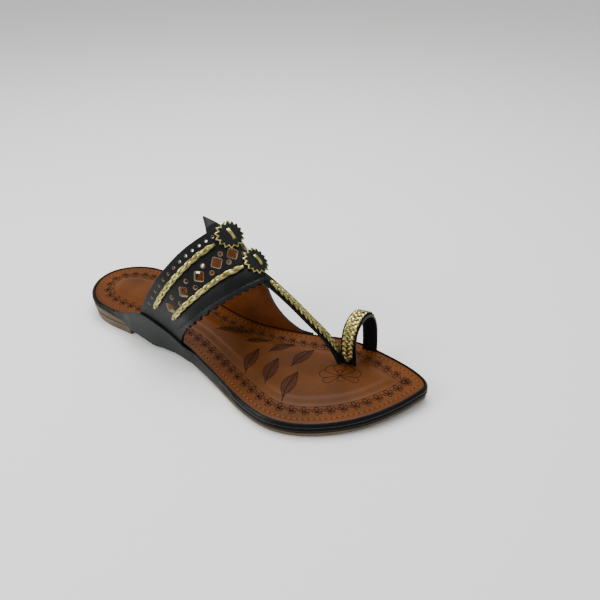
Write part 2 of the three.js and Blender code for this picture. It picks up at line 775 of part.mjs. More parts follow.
for (const rosette of ROSETTES) {
  const reach = GOLD_DISC_RADIUS + BRAID_TO_ROSETTE;
  const goldTop = TRIM_GAP + GOLD_DISC_THICKNESS;
  const blackTop = goldTop + GAP + BLACK_DISC_THICKNESS;
  const lateralRun = buildBraidRun(rosette.name, BRAID_LATERAL_END, rosette.over - reach);
  const medialRun = buildBraidRun(rosette.name, rosette.over + reach, BRAID_MEDIAL_END);
  place(`braid_${rosette.name}_lateral`, lateralRun, FINISH.gold);
  place(`braid_${rosette.name}_medial`, medialRun, FINISH.gold);
  const goldDisc = buildDisc(rosette, GOLD_DISC_RADIUS, TRIM_GAP, goldTop);
  const blackDisc = buildDisc(rosette, BLACK_DISC_RADIUS, goldTop + GAP, blackTop);
  place(`rosette_${rosette.name}_gold`, goldDisc, FINISH.gold);
  place(`rosette_${rosette.name}_black`, blackDisc, FINISH.blackLeather);
  place(`thong_${rosette.name}`, buildThong(rosette, blackTop + GAP), FINISH.gold);
}

place('braid_t_strap', strap(T_STRAP_POINTS, {
  width: T_BRAID_WIDTH,
  thickness: BRAID_THICKNESS,
  lift: (T_STRAP_THICKNESS + BRAID_THICKNESS) / 2 + TRIM_GAP,
  span: T_BRAID_SPAN,
  widthAt: levelAcross,
}), FINISH.gold);

place('braid_ring', strap(RING_POINTS, {
  width: RING_BRAID_WIDTH,
  thickness: RING_BRAID_THICKNESS,
  lift: (RING_THICKNESS + RING_BRAID_THICKNESS) / 2 + TRIM_GAP,
  span: RING_BRAID_SPAN,
  widthAt: ringAcross,
}), FINISH.gold);

// The shoe stands on the floor, centred over the origin
const extent = new THREE.Box3().setFromObject(sandal);
const middle = extent.getCenter(new THREE.Vector3());
sandal.position.set(-middle.x, -middle.y, -extent.min.z);

export default sandal;
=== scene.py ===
"""Right-foot toe-ring sandal: leather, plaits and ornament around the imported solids."""
import logging
import math
from dataclasses import dataclass, field
from enum import Enum
from functools import cached_property
from typing import Callable, Iterable, Sequence

import bmesh
import bpy
from mathutils import Matrix, Vector
from mathutils.kdtree import KDTree


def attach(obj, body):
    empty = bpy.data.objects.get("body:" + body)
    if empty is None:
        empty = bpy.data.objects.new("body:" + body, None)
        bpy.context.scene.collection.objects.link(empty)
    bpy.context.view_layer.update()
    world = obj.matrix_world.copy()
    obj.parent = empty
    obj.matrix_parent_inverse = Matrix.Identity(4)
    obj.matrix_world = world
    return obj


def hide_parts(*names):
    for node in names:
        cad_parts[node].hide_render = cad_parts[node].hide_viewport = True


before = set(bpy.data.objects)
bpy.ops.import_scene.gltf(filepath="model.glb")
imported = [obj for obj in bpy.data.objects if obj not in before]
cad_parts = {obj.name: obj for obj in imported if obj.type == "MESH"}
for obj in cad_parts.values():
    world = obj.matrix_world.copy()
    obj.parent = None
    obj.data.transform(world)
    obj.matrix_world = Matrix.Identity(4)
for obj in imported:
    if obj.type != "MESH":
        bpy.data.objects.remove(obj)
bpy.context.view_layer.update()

LOG = logging.getLogger("sandal")

# The layout is in millimetres: x from the back of the heel to the toe, y to the big-toe side,
# z up from the floor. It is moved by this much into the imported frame, which is in metres.
MM = 0.001
LAYOUT_SHIFT = Vector((-125.0, -0.469, 0.0))
WELD = 1e-7

# Edges of a piece that turn more than this show as sharp, and those of a sheet are rounded
SHARP_DEGREES = 40.0
ROUNDED_DEGREES = 50.0
ROUNDED_SEGMENTS = 2

# Faces of a stitch or an awl hole
BEAD_SIDES = 6
BEAD_RINGS = 4

# Place of a gold strip's crown, where it takes no painted shade, in the pattern that runs once round it
STRIP_CROWN = 0.25

Spot = tuple[float, float, float]
Plan = list[tuple[float, float]]
PointAt = Callable[[int, int], Vector]
Color = tuple[float, float, float, float]


class Side(Enum):
    """Side of the foot."""

    LATERAL = -1
    MEDIAL = 1


# Numbers and curves
def placed(point: Vector) -> Vector:
    """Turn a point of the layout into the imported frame."""
    return (point + LAYOUT_SHIFT) * MM


def clamp01(value: float) -> float:
    """Limit a share to 0..1."""
    return min(1.0, max(0.0, value))


def mix(start: float, end: float, share: float) -> float:
    """Blend two numbers."""
    return start + (end - start) * share


def smooth_step(low: float, high: float, value: float) -> float:
    """Ease from 0 at low to 1 at high."""
    share = clamp01((value - low) / (high - low))
    return share * share * (3 - 2 * share)


def running_lengths(points: Sequence[Vector]) -> list[float]:
    """Measure a line of points.

    Args:
        points: the line.

    Returns:
        Length of the line up to each point.
    """
    lengths = [0.0]
    for here, after in zip(points, points[1:]):
        lengths.append(lengths[-1] + (after - here).length)
    return lengths


def share_in(steps: Sequence[float], target: float) -> float:
    """Find a value in a rising list.

    Args:
        steps: the rising list.
        target: the value.

    Returns:
        Its place as a share of the list, between the two nearest entries.
    """
    last = len(steps) - 1
    i = 0
    while i < last - 1 and target > steps[i + 1]:
        i += 1
    return (i + clamp01((target - steps[i]) / (steps[i + 1] - steps[i]))) / last


def through(rows: Sequence[tuple[float, float]]) -> Callable[[float], float]:
    """Make a smooth curve through the rows of a table.

    Args:
        rows: increasing places, each with its value.

    Returns:
        A function from a place to the value there.
    """
    positions, values = zip(*rows)
    last = len(positions) - 1

    def slope(i: int) -> float:
        """Slope of the curve at a row."""
        low, high = max(0, i - 1), min(last, i + 1)
        return (values[high] - values[low]) / (positions[high] - positions[low])

    def value_at(position: float) -> float:
        """Follow the curve.

        Args:
            position: a place.

        Returns:
            The value there.
        """
        i = 0
        while i < last - 1 and position > positions[i + 1]:
            i += 1
        step = positions[i + 1] - positions[i]
        t = clamp01((position - positions[i]) / step)
        start = (1 + 2 * t) * (1 - t) ** 2 * values[i] + t * (1 - t) ** 2 * step * slope(i)
        end = t * t * (3 - 2 * t) * values[i + 1] - t * t * (1 - t) * step * slope(i + 1)
        return start + end

    return value_at


class SmoothLine:
    """Smooth line through points, with knots spaced by the square root of their distance."""

    SAMPLES = 240

    def __init__(self, points: Sequence[Spot]) -> None:
        """Keep the points, with one more beyond each end.

        Args:
            points: places that the line goes through.
        """
        inner = [Vector(point) for point in points]
        self.points = [2 * inner[0] - inner[1], *inner, 2 * inner[-1] - inner[-2]]
        self.spans = len(inner) - 1

    def at(self, share: float) -> Vector:
        """Find a point, with each span counting the same.

        Args:
            share: share of the line.

        Returns:
            The point there.
        """
        place = clamp01(share) * self.spans
        i = min(int(place), self.spans - 1)
        t = place - i
        a, b, c, d = self.points[i:i + 4]
        before, here, after = ((q - p).length ** 0.5 for p, q in ((a, b), (b, c), (c, d)))
        leave = ((b - a) / before - (c - a) / (before + here) + (c - b) / here) * here
        reach = ((c - b) / here - (d - b) / (here + after) + (d - c) / after) * here
        bend = 3 * (c - b) - 2 * leave - reach
        twist = 2 * (b - c) + leave + reach
        return b + leave * t + bend * t ** 2 + twist * t ** 3

    @cached_property
    def lengths(self) -> list[float]:
        """Length of the line up to each of its even samples."""
        return running_lengths([self.at(i / self.SAMPLES) for i in range(self.SAMPLES + 1)])

    def along(self, share: float) -> Vector:
        """Point at a share of the line's length."""
        return self.at(share_in(self.lengths, share * self.lengths[-1]))

    def tangent(self, share: float) -> Vector:
        """Direction at a share of the line's length."""
        step = 1 / self.SAMPLES
        return (self.along(min(1, share + step)) - self.along(max(0, share - step))).normalized()


@dataclass(frozen=True)
class Station:
    """Place on a strip: its middle, and the directions along it, across it and out of it."""

    middle: Vector
    along: Vector
    across: Vector
    out: Vector

    def point(self, across: float, out: float) -> Vector:
        """Point beside the middle."""
        return self.middle + self.across * across + self.out * out

    def matrix(self, scale: Sequence[float]) -> Matrix:
        """Placement of a small shape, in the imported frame."""
        turn = Matrix((self.along, self.across, self.out)).transposed().to_4x4()
        return Matrix.Translation(placed(self.middle)) @ turn @ Matrix.Diagonal((*(Vector(scale) * MM), 1.0))


# Sole outline and heights
@dataclass(frozen=True)
class WidthRow:
    """Half widths of the footbed at a place along the foot."""

    along: float
    medial: float
    lateral: float


SOLE_ROWS = (
    WidthRow(0, 0, 0),
    WidthRow(2.5, 9.9, 10.9),
    WidthRow(10, 18.8, 20.6),
    WidthRow(20, 24.6, 26.3),
    WidthRow(32.5, 27.4, 28.2),
    WidthRow(50, 27.4, 27.4),
    WidthRow(75, 24.4, 26.1),
    WidthRow(100, 21.2, 23.9),
    WidthRow(125, 22.4, 29.2),
    WidthRow(150, 28.9, 36.9),
    WidthRow(170, 34.4, 43.3),
    WidthRow(185, 38.4, 46.4),
    WidthRow(200, 37.2, 45.4),
    WidthRow(217.5, 30.1, 39.1),
    WidthRow(232.5, 20.9, 29),
    WidthRow(242.5, 12.3, 16.8),
    WidthRow(248.3, 5.2, 5.6),
    WidthRow(250, 0, 0),
)


@dataclass
class SoleShape:
    """Outline of the footbed and the heights of the sole's layers.

    A turn is a place round the outline: 0 at the heel and half a circle at the toe.
    """

    length: float = 250.0
    toe_sweep: float = 27.0
    toe_sweep_start: float = 150.0
    heel_top: float = 16.0
    forefoot_top: float = 9.0
    slope: tuple[float, float] = (55.0, 145.0)
    toe_spring: float = 2.8
    toe_spring_start: float = 200.0
    heel_lift: float = 7.0
    breast_x: float = 53.0
    arch: tuple[float, float] = (58.0, 92.0)
    outsole_thickness: float = 3.0
    footbed_thickness: float = 2.4
    gap: float = 0.3
    cushion_rise: float = 2.2
    cushion_border: float = 13.0
    cushion_shoulder: float = 7.0
    turn_step: float = 0.01
    edge_samples: int = 300

    @cached_property
    def half_width(self) -> dict[Side, Callable[[float], float]]:
        """Half width of each side at a turn.

        Returns:
            For each side, a function from a turn to the half width.
        """
        return {
            Side.MEDIAL: through([(self.turn_of(row.along), row.medial) for row in SOLE_ROWS]),
            Side.LATERAL: through([(self.turn_of(row.along), row.lateral) for row in SOLE_ROWS]),
        }

    def turn_of(self, x: float) -> float:
        """Turn at a place along the foot."""
        return math.acos(1 - 2 * min(self.length, max(0.0, x)) / self.length)

    def toward_toe(self, x: float, start: float) -> float:
        """Eased share of the way from a start to the toe."""
        return clamp01((x - start) / (self.length - start)) ** 2

    def sweep(self, x: float) -> float:
        """How far the toe leans to the big-toe side."""
        return self.toe_sweep * self.toward_toe(x, self.toe_sweep_start)

    def edge(self, turn: float, side: Side) -> Vector:
        """Edge of the footbed in plan."""
        x = self.length * (1 - math.cos(turn)) / 2
        return Vector((x, side.value * self.half_width[side](turn) + self.sweep(x)))

    def edge_y(self, x: float, side: Side) -> float:
        """Edge of the footbed at a place along the foot."""
        return self.edge(self.turn_of(x), side).y

    def outline(self, turn: float, side: Side, outward: float) -> Vector:
        """Move a point of the outline outwards, square to it.

        Args:
            turn: place round the outline.
            side: side of the foot.
            outward: distance from the edge.

        Returns:
            The point in plan.
        """
        if turn < self.turn_step / 2 or turn > math.pi - self.turn_step / 2:
            out = Vector((-1.0 if turn < math.pi / 2 else 1.0, 0.0))
        else:
            before = self.edge(max(0.0, turn - self.turn_step), side)
            after = self.edge(min(math.pi, turn + self.turn_step), side)
            along = (after - before).normalized()
            out = Vector((-along.y, along.x)) * side.value
        return self.edge(turn, side) + out * outward

    def spring(self, x: float) -> float:
        """Lift of the toe."""
        return self.toe_spring * self.toward_toe(x, self.toe_spring_start)

    def footbed_top(self, x: float) -> float:
        """Flat border of the footbed above the floor."""
        return mix(self.heel_top, self.forefoot_top, smooth_step(*self.slope, x)) + self.spring(x)

    def outsole_bottom(self, x: float) -> float:
        """Underside of the outsole above the floor."""
        return self.heel_lift * (1 - smooth_step(*self.arch, x)) + self.spring(x)

    def outsole_top(self, x: float) -> float:
        """Top of the outsole above the floor."""
        return self.outsole_bottom(x) + self.outsole_thickness

    def footbed_bottom(self, x: float) -> float:
        """Underside of the footbed above the floor."""
        return self.footbed_top(x) - self.footbed_thickness

    def rand_top(self, x: float) -> float:
        """Top of the rand above the floor."""
        return self.footbed_bottom(x) - self.gap

    @cached_property
    def edge_tree(self) -> KDTree:
        """Points all along the outline, for finding the nearest.

        Returns:
            The points, ready to search.
        """
        tree = KDTree(2 * (self.edge_samples + 1))
        for side in Side:
            for i in range(self.edge_samples + 1):
                tree.insert(self.edge(math.pi * i / self.edge_samples, side).to_3d(), i)
        tree.balance()
        return tree

    def inside(self, x: float, y: float) -> float:
        """Distance of a point of the footbed from its edge."""
        return self.edge_tree.find(Vector((x, y, 0.0)))[2]

    def surface(self, x: float, y: float) -> Vector:
        """Find a point of the padded footbed.

        Args:
            x: place along the foot.
            y: place across the foot.

        Returns:
            The point of the surface there.
        """
        shoulder_end = self.cushion_border + self.cushion_shoulder
        padding = smooth_step(self.cushion_border, shoulder_end, self.inside(x, y))
        return Vector((x, y, self.footbed_top(x) + self.cushion_rise * padding))

    def inset_path(self, inset: float, spacing: float) -> list[Vector]:
        """Evenly spaced points in plan, all round the sole, inside its edge.

        Args:
            inset: distance from the edge.
            spacing: distance between points.

        Returns:
            Points in order round the sole, from the heel by the lateral side.
        """
        turns = [math.pi * i / self.edge_samples for i in range(self.edge_samples + 1)]
        loop = [self.outline(turn, Side.LATERAL, -inset) for turn in turns]
        loop += [self.outline(turn, Side.MEDIAL, -inset) for turn in reversed(turns)]
        lengths = running_lengths(loop)
        count = round(lengths[-1] / spacing)
        points, i = [], 0
        for k in range(count):
            target = lengths[-1] * k / count
            while lengths[i + 1] < target:
                i += 1
            share = (target - lengths[i]) / max(WELD, lengths[i + 1] - lengths[i])
            points.append(loop[i].lerp(loop[i + 1], share))
        return points


SOLE = SoleShape()


# Mesh making
def add_grid(bm: bmesh.types.BMesh, columns: int, rows: int, point_at: PointAt, flip: bool = False,
             uv_at: Callable[[int, int], tuple[float, float]] | None = None) -> None:
    """Lay a grid of faces and move each corner to a point of a surface.

    Args:
        bm: mesh that takes the grid.
        columns: faces one way.
        rows: faces the other way.
        point_at: layout point of a corner.
        flip: turn the faces over.
        uv_at: pattern place of a corner, in millimetres.
    """
    made = bmesh.ops.create_grid(bm, x_segments=columns, y_segments=rows, size=0.5)["verts"]
    corners = {vert: (round((vert.co.x + 0.5) * columns), round((vert.co.y + 0.5) * rows)) for vert in made}
    faces = list({face for vert in made for face in vert.link_faces})
    if uv_at:
        layer = bm.loops.layers.uv.verify()
        for face in faces:
            for loop in face.loops:
                loop[layer].uv = uv_at(*corners[loop.vert])
    for vert, corner in corners.items():
        vert.co = placed(point_at(*corner))
    if flip:
        bmesh.ops.reverse_faces(bm, faces=faces)


def weld(bm: bmesh.types.BMesh) -> None:
    """Join corners that lie on each other and face the closed shape outwards."""
    bmesh.ops.remove_doubles(bm, verts=bm.verts[:], dist=WELD)
    bmesh.ops.recalc_face_normals(bm, faces=bm.faces[:])


def add_bead(bm: bmesh.types.BMesh, station: Station, half_size: Sequence[float]) -> None:
    """Add one small rounded bead, such as a stitch."""
    bmesh.ops.create_uvsphere(bm, u_segments=BEAD_SIDES, v_segments=BEAD_RINGS, radius=1.0,
                              matrix=station.matrix(half_size))


def make_piece(name: str, bm: bmesh.types.BMesh, finishes: Sequence[bpy.types.Material],
               sharp_degrees: float = SHARP_DEGREES) -> bpy.types.Object:
    """Turn a bmesh into an object of the scene.

    Args:
        name: the piece's name.
        bm: its shape, used up here.
        finishes: its materials, in slot order.
        sharp_degrees: edges that turn more than this stay sharp.

    Returns:
        The new object.
    """
    mesh = bpy.data.meshes.new(name)
    bm.to_mesh(mesh)
    bm.free()
    for finish in finishes:
        mesh.materials.append(finish)
    mesh.polygons.foreach_set("use_smooth", [True] * len(mesh.polygons))
    mesh.set_sharp_from_angle(angle=math.radians(sharp_degrees))
    piece = bpy.data.objects.new(name, mesh)
    bpy.context.scene.collection.objects.link(piece)
    return piece


def freeze(piece: bpy.types.Object, sharp_degrees: float = SHARP_DEGREES) -> None:
    """Make the result of a piece's modifiers its own mesh.

    Args:
        piece: the piece with its modifiers.
        sharp_degrees: edges that turn more than this stay sharp.
    """
    graph = bpy.context.evaluated_depsgraph_get()
    mesh = bpy.data.meshes.new_from_object(piece.evaluated_get(graph))
    old = piece.data
    piece.modifiers.clear()
    piece.data = mesh
    bpy.data.meshes.remove(old)
    mesh.name = piece.name
    mesh.set_sharp_from_angle(angle=math.radians(sharp_degrees))


def thicken(piece: bpy.types.Object, thickness: float, round_edge: float, inner_slot: int = 0) -> None:
    """Give a sheet its thickness on the inside, with rounded edges.

    Args:
        piece: an open sheet that faces outwards.
        thickness: leather thickness.
        round_edge: radius of the edges.
        inner_slot: material slot of the inner face.
    """
    solid = piece.modifiers.new("thickness", "SOLIDIFY")
    solid.thickness = thickness * MM
    solid.offset = -1
    solid.use_even_offset = True
    solid.material_offset = inner_slot
    bevel = piece.modifiers.new("rounded", "BEVEL")
    bevel.width = round_edge * MM
    bevel.segments = ROUNDED_SEGMENTS
    bevel.limit_method = "ANGLE"
    bevel.angle_limit = math.radians(ROUNDED_DEGREES)
    freeze(piece)


def seat(piece: bpy.types.Object, slot: str, *nodes: str) -> None:
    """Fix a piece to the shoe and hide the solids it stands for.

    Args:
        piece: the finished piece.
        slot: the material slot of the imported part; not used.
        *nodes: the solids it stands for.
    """
    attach(piece, "root")
    if nodes:
        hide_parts(*nodes)
    LOG.info("%s: %d faces", piece.name, len(piece.data.polygons))


def add_tube(bm: bmesh.types.BMesh, stations: Sequence[Station], width: float, thickness: float,
             squareness: float, sides: int, uv_offset: float = 0.0) -> None:
    """Sweep a flat rounded section along stations, closed at both ends.

    Args:
        bm: mesh that takes the tube.
        stations: places along the tube.
        width: section across.
        thickness: section out.
        squareness: 1 for an oval section, less for a squarer one.
        sides: faces round the section.
        uv_offset: start of the pattern along the tube.
    """
    last = len(stations) - 1
    step = (stations[1].middle - stations[0].middle).length

    def corner(i: int, j: int) -> Vector:
        """Find a corner; the first and last rings close to a point.

        Args:
            i: ring along the tube.
            j: place round the section.

        Returns:
            The corner's point.
        """
        station = stations[min(last, max(0, i - 1))]
        if i in (0, last + 2):
            return station.middle
        angle = math.tau * (j % sides) / sides
        across, out = (math.copysign(abs(part) ** squareness, part)
                       for part in (math.cos(angle), math.sin(angle)))
        return station.point(width / 2 * across, thickness / 2 * out)

    add_grid(bm, last + 2, sides, corner, uv_at=lambda i, j: (uv_offset + i * step, j / sides))


# Finishes
def linear(hex_color: str) -> Color:
    """Turn an sRGB hex value into linear light.

    Args:
        hex_color: the colour, such as #603511.

    Returns:
        Red, green, blue and alpha.
    """
    parts = [int(hex_color[i:i + 2], 16) / 255 for i in (1, 3, 5)]
    red, green, blue = (p / 12.92 if p <= 0.04045 else ((p + 0.055) / 1.055) ** 2.4 for p in parts)
    return red, green, blue, 1.0


class Surface:
    """A material being made: its nodes and its coordinates."""

    def __init__(self, name: str) -> None:
        """Start a material.

        Args:
            name: the material's name.
        """
        self.material = bpy.data.materials.new(name)
        self.material.use_nodes = True
        self.tree = self.material.node_tree
        self.where = self.add("ShaderNodeTexCoord", out="Object")
        self.pattern = self.add("ShaderNodeTexCoord", out="UV")

    def fill(self, node: bpy.types.Node, inputs: dict | Sequence) -> None:
        """Set or link inputs of a node.

        Args:
            node: the node.
            inputs: values or other nodes' outputs, by input name or number, or in order.
        """
        for key, value in inputs.items() if isinstance(inputs, dict) else enumerate(inputs):
            if isinstance(value, bpy.types.NodeSocket):
                self.tree.links.new(value, node.inputs[key])
            else:
                node.inputs[key].default_value = value

    def add(self, kind: str, inputs: dict | Sequence = (), out: int | str = 0,
            **settings: str) -> bpy.types.NodeSocket:
        """Add one node with its settings and links.

        Args:
            kind: type of node.
            inputs: values or other nodes' outputs, by input name or number, or in order.
            out: the output that is wanted, by name or number.
            **settings: the node's own settings.

        Returns:
            The node's output.
        """
        node = self.tree.nodes.new(kind)
        for name, value in settings.items():
            setattr(node, name, value)
        self.fill(node, inputs)
        return node.outputs[out]

    def finish(self, inputs: dict) -> bpy.types.Material:
        """Set the shader's inputs and give the finished material."""
        self.fill(self.tree.nodes["Principled BSDF"], inputs)
        return self.material


@dataclass(frozen=True)
class GrainLeather:
    """Finished cowhide: pebbled grain from embossing, cloudy dye, satin polish."""

    name: str
    color: str
    worn: str
    cloud_mm: float = 14.0
    cloud_detail: float = 4.0
    dye_range: tuple[float, float] = (0.35, 0.7)
    grain_mm: float = 0.9
    grain_depth_mm: float = 0.10
    grain_strength: float = 0.6
    fine_share: float = 0.4
    fine_detail: float = 2.0
    polish_range: tuple[float, float] = (0.3, 0.7)
    roughness: tuple[float, float] = (0.42, 0.58)
    coat: float = 0.0
    coat_roughness: float = 0.3
    specular: float = 0.16
    edge_color: str | None = None
    edge_mm: tuple[float, float] = (0.6, 3.0)
    edge_strength: float = 0.3
    scorch_color: str | None = None

    def material(self) -> bpy.types.Material:
        """Build the material: dye, darker edge, scorched patches, grain and polish.

        Returns:
            The material.
        """
        surface = Surface(self.name)
        cloud = surface.add("ShaderNodeTexNoise", {
            "Vector": surface.where, "Scale": 1 / (self.cloud_mm * MM), "Detail": self.cloud_detail})
        wear = surface.add("ShaderNodeMapRange", (cloud, *self.dye_range))
        color = surface.add("ShaderNodeMix", {
            0: wear, 6: linear(self.color), 7: linear(self.worn)}, 2, data_type="RGBA")
        if self.edge_color:
            inside = surface.add("ShaderNodeAttribute", out="Fac", attribute_name="inside_mm")
            near = surface.add("ShaderNodeMapRange", (inside, *self.edge_mm, self.edge_strength, 0.0))
            color = surface.add("ShaderNodeMix", {
                0: near, 6: color, 7: linear(self.edge_color)}, 2, data_type="RGBA")
        if self.scorch_color:
            scorch = surface.add("ShaderNodeAttribute", out="Fac", attribute_name="scorch")
            color = surface.add("ShaderNodeMix", {
                0: scorch, 6: color, 7: linear(self.scorch_color)}, 2, data_type="RGBA")
        grain = 1 / (self.grain_mm * MM)
        cells = surface.add("ShaderNodeTexVoronoi", {
            "Vector": surface.where, "Scale": grain}, "Distance", feature="SMOOTH_F1")
        fine = surface.add("ShaderNodeTexNoise", {
            "Vector": surface.where, "Scale": grain / self.fine_share, "Detail": self.fine_detail})
        height = surface.add("ShaderNodeMath", (cells, fine), operation="ADD")
        return surface.finish({
            "Base Color": color,
            "Normal": surface.add("ShaderNodeBump", {
                "Height": height, "Distance": self.grain_depth_mm * MM, "Strength": self.grain_strength}),
            "Roughness": surface.add("ShaderNodeMapRange", (cloud, *self.polish_range, *self.roughness)),
            "Specular IOR Level": self.specular,
            "Coat Weight": self.coat,
            "Coat Roughness": self.coat_roughness,
        })


@dataclass(frozen=True)
class FoilLeather:
    """Foil-coated leather strip: bright metal film on its crown, with painted shade darkening it towards its
    edges.
    """

    name: str = "gold_foil_leather"
    color: str = "#d3c884"
    worn: str = "#857a38"
    # Colour of the painted shade along each strip's edges
    edge: str = "#0d0b04"
    crease_mm: float = 0.9
    crease_detail: float = 3.0
    crease_depth_mm: float = 0.025
    crease_strength: float = 0.7
    crease_stretch: float = 0.25
    across_mm: float = 5.0
    rub_range: tuple[float, float] = (0.35, 0.65)
    # Crown values over which the painted shade gives way to the film
    painted_shade_range: tuple[float, float] = (0.42, 1.0)
    gloss_range: tuple[float, float] = (0.3, 0.7)
    roughness: tuple[float, float] = (0.3, 0.17)
    metallic: float = 0.9

    def material(self) -> bpy.types.Material:
        """Build the material: rubbed film, painted shade along the edges, fine creases and gloss.

        Returns:
            The material.
        """
        surface = Surface(self.name)
        run = surface.add("ShaderNodeMapping", {
            "Vector": surface.pattern, "Scale": (self.crease_stretch, self.across_mm, 1.0)})
        creases = surface.add("ShaderNodeTexNoise", {
            "Vector": run, "Scale": 1 / self.crease_mm, "Detail": self.crease_detail})
        rub = surface.add("ShaderNodeMapRange", (creases, *self.rub_range))
        film = surface.add("ShaderNodeMix", {
            0: rub, 6: linear(self.worn), 7: linear(self.color)}, 2, data_type="RGBA")
        # Painted shade: the film darkens towards each strip's edges as the sine of the place round it falls
        around = surface.add("ShaderNodeSeparateXYZ", (surface.pattern,), 1)
        angle = surface.add("ShaderNodeMath", (around, math.tau), operation="MULTIPLY")
        crown = surface.add("ShaderNodeMath", (angle,), operation="SINE")
        lit = surface.add("ShaderNodeMapRange", (crown, *self.painted_shade_range))
        return surface.finish({
            "Base Color": surface.add("ShaderNodeMix", {
                0: lit, 6: linear(self.edge), 7: film}, 2, data_type="RGBA"),
            "Normal": surface.add("ShaderNodeBump", {
                "Height": creases, "Distance": self.crease_depth_mm * MM, "Strength": self.crease_strength}),
            "Roughness": surface.add("ShaderNodeMapRange", (creases, *self.gloss_range, *self.roughness)),
            "Metallic": self.metallic,
        })


@dataclass(frozen=True)
class StackedLeather:
    """Layered sole leather: cut edges show the layers, ink dulls them."""

    name: str
    color: str
    dark: str
    layer_mm: float = 2.2
    layer_stretch: float = 0.15
    tone_range: tuple[float, float] = (0.35, 0.65)
    fibre_mm: float = 0.7
    fibre_depth_mm: float = 0.15
    fibre_strength: float = 0.5
    detail: float = 3.0
    roughness: float = 0.72

    def material(self) -> bpy.types.Material:
        """Build the material: flat layers and short fibres.

        Returns:
            The material.
        """
        surface = Surface(self.name)
        flat = surface.add("ShaderNodeMapping", {
            "Vector": surface.where, "Scale": (self.layer_stretch, self.layer_stretch, 1.0)})
        layers = surface.add("ShaderNodeTexNoise", {
            "Vector": flat, "Scale": 1 / (self.layer_mm * MM), "Detail": self.detail})
        fibres = surface.add("ShaderNodeTexNoise", {
            "Vector": surface.where, "Scale": 1 / (self.fibre_mm * MM), "Detail": self.detail})
        tone = surface.add("ShaderNodeMapRange", (layers, *self.tone_range))
        return surface.finish({
            "Base Color": surface.add("ShaderNodeMix", {
                0: tone, 6: linear(self.dark), 7: linear(self.color)}, 2, data_type="RGBA"),
            "Normal": surface.add("ShaderNodeBump", {
                "Height": fibres, "Distance": self.fibre_depth_mm * MM, "Strength": self.fibre_strength}),
            "Roughness": self.roughness,
        })


@dataclass(frozen=True)
class PlainFibre:
    """Matt fibre, such as waxed thread, scorched leather or a raw cut edge."""

    name: str
    color: str
    dark: str
    fibre_mm: float = 0.35
    fibre_depth_mm: float = 0.05
    fibre_strength: float = 0.5
    detail: float = 2.0
    roughness: float = 0.7
    specular: float = 0.12

    def material(self) -> bpy.types.Material:
        """Build the material: fine fibres in two tones.

        Returns:
            The material.
        """
        surface = Surface(self.name)
        fibres = surface.add("ShaderNodeTexNoise", {
            "Vector": surface.where, "Scale": 1 / (self.fibre_mm * MM), "Detail": self.detail})
        return surface.finish({
            "Base Color": surface.add("ShaderNodeMix", {
                0: fibres, 6: linear(self.dark), 7: linear(self.color)}, 2, data_type="RGBA"),
            "Normal": surface.add("ShaderNodeBump", {
                "Height": fibres, "Distance": self.fibre_depth_mm * MM, "Strength": self.fibre_strength}),
            "Roughness": self.roughness,
            "Specular IOR Level": self.specular,
        })


class Finishes:
    """All the finishes of the shoe."""

    def __init__(self) -> None:
        """Build each material once."""
        # Soft black upper leather with a quiet sheen
        self.black = GrainLeather(
            "black_grain_leather", "#0c0d0d", "#161718", roughness=(0.36, 0.5)).material()
        # Black leather of the side covers, duller, and painted greyer for the light that falls on their sides
        self.painted_lit_black = GrainLeather(
            "side_leather_painted_lit", "#1f2221", "#282c2b", roughness=(0.5, 0.62), specular=0.2).material()
        # Inked and polished edge, with sharper highlights
        self.rim = GrainLeather(
            "glazed_black_edge", "#040404", "#080707", roughness=(0.22, 0.32)).material()
        # Warm tan footbed, darker to its edge and in the leaves
        self.tan = GrainLeather(
            "tan_burnished_leather", "#603511", "#4b2809", cloud_mm=26.0, grain_mm=0.7, grain_depth_mm=0.05,
            roughness=(0.34, 0.46), coat=0.05, specular=0.12, edge_color="#42210a",
            scorch_color="#351a09").material()
        # Matt brown inside of the band
        self.lining = GrainLeather(
            "brown_lining_leather", "#6e3a15", "#55290c", grain_mm=0.6, roughness=(0.5, 0.65)).material()
        # Pale gold strips with painted shade darkening each strip towards its edges, away from its crown
        self.gold = FoilLeather().material()
        # Dull olive-brown sole edge with faint layers
        self.outsole = StackedLeather("olive_sole_leather", "#5a4e38", "#443a28").material()
        # A little lighter and redder than the outsole, with the same layers
        self.heel = StackedLeather("stacked_heel_leather", "#62533e", "#4c3f2c").material()
        # Orange stitches without shine
        self.thread = PlainFibre("orange_waxed_thread", "#935022", "#6c3210").material()
        # Stitches that nearly vanish in the black leather
        self.black_thread = PlainFibre("black_waxed_thread", "#080808", "#030303").material()
        # Dark brown scorched lines, also the painted shade of the awl holes and of the border crease
        self.scorch_and_shade = PlainFibre("scorch_and_painted_shade", "#280d04", "#170501").material()
        # Pale greyish inside of the leather, seen round each punched hole
        self.raw_edge = PlainFibre("raw_cut_edge", "#a4957a", "#776850").material()


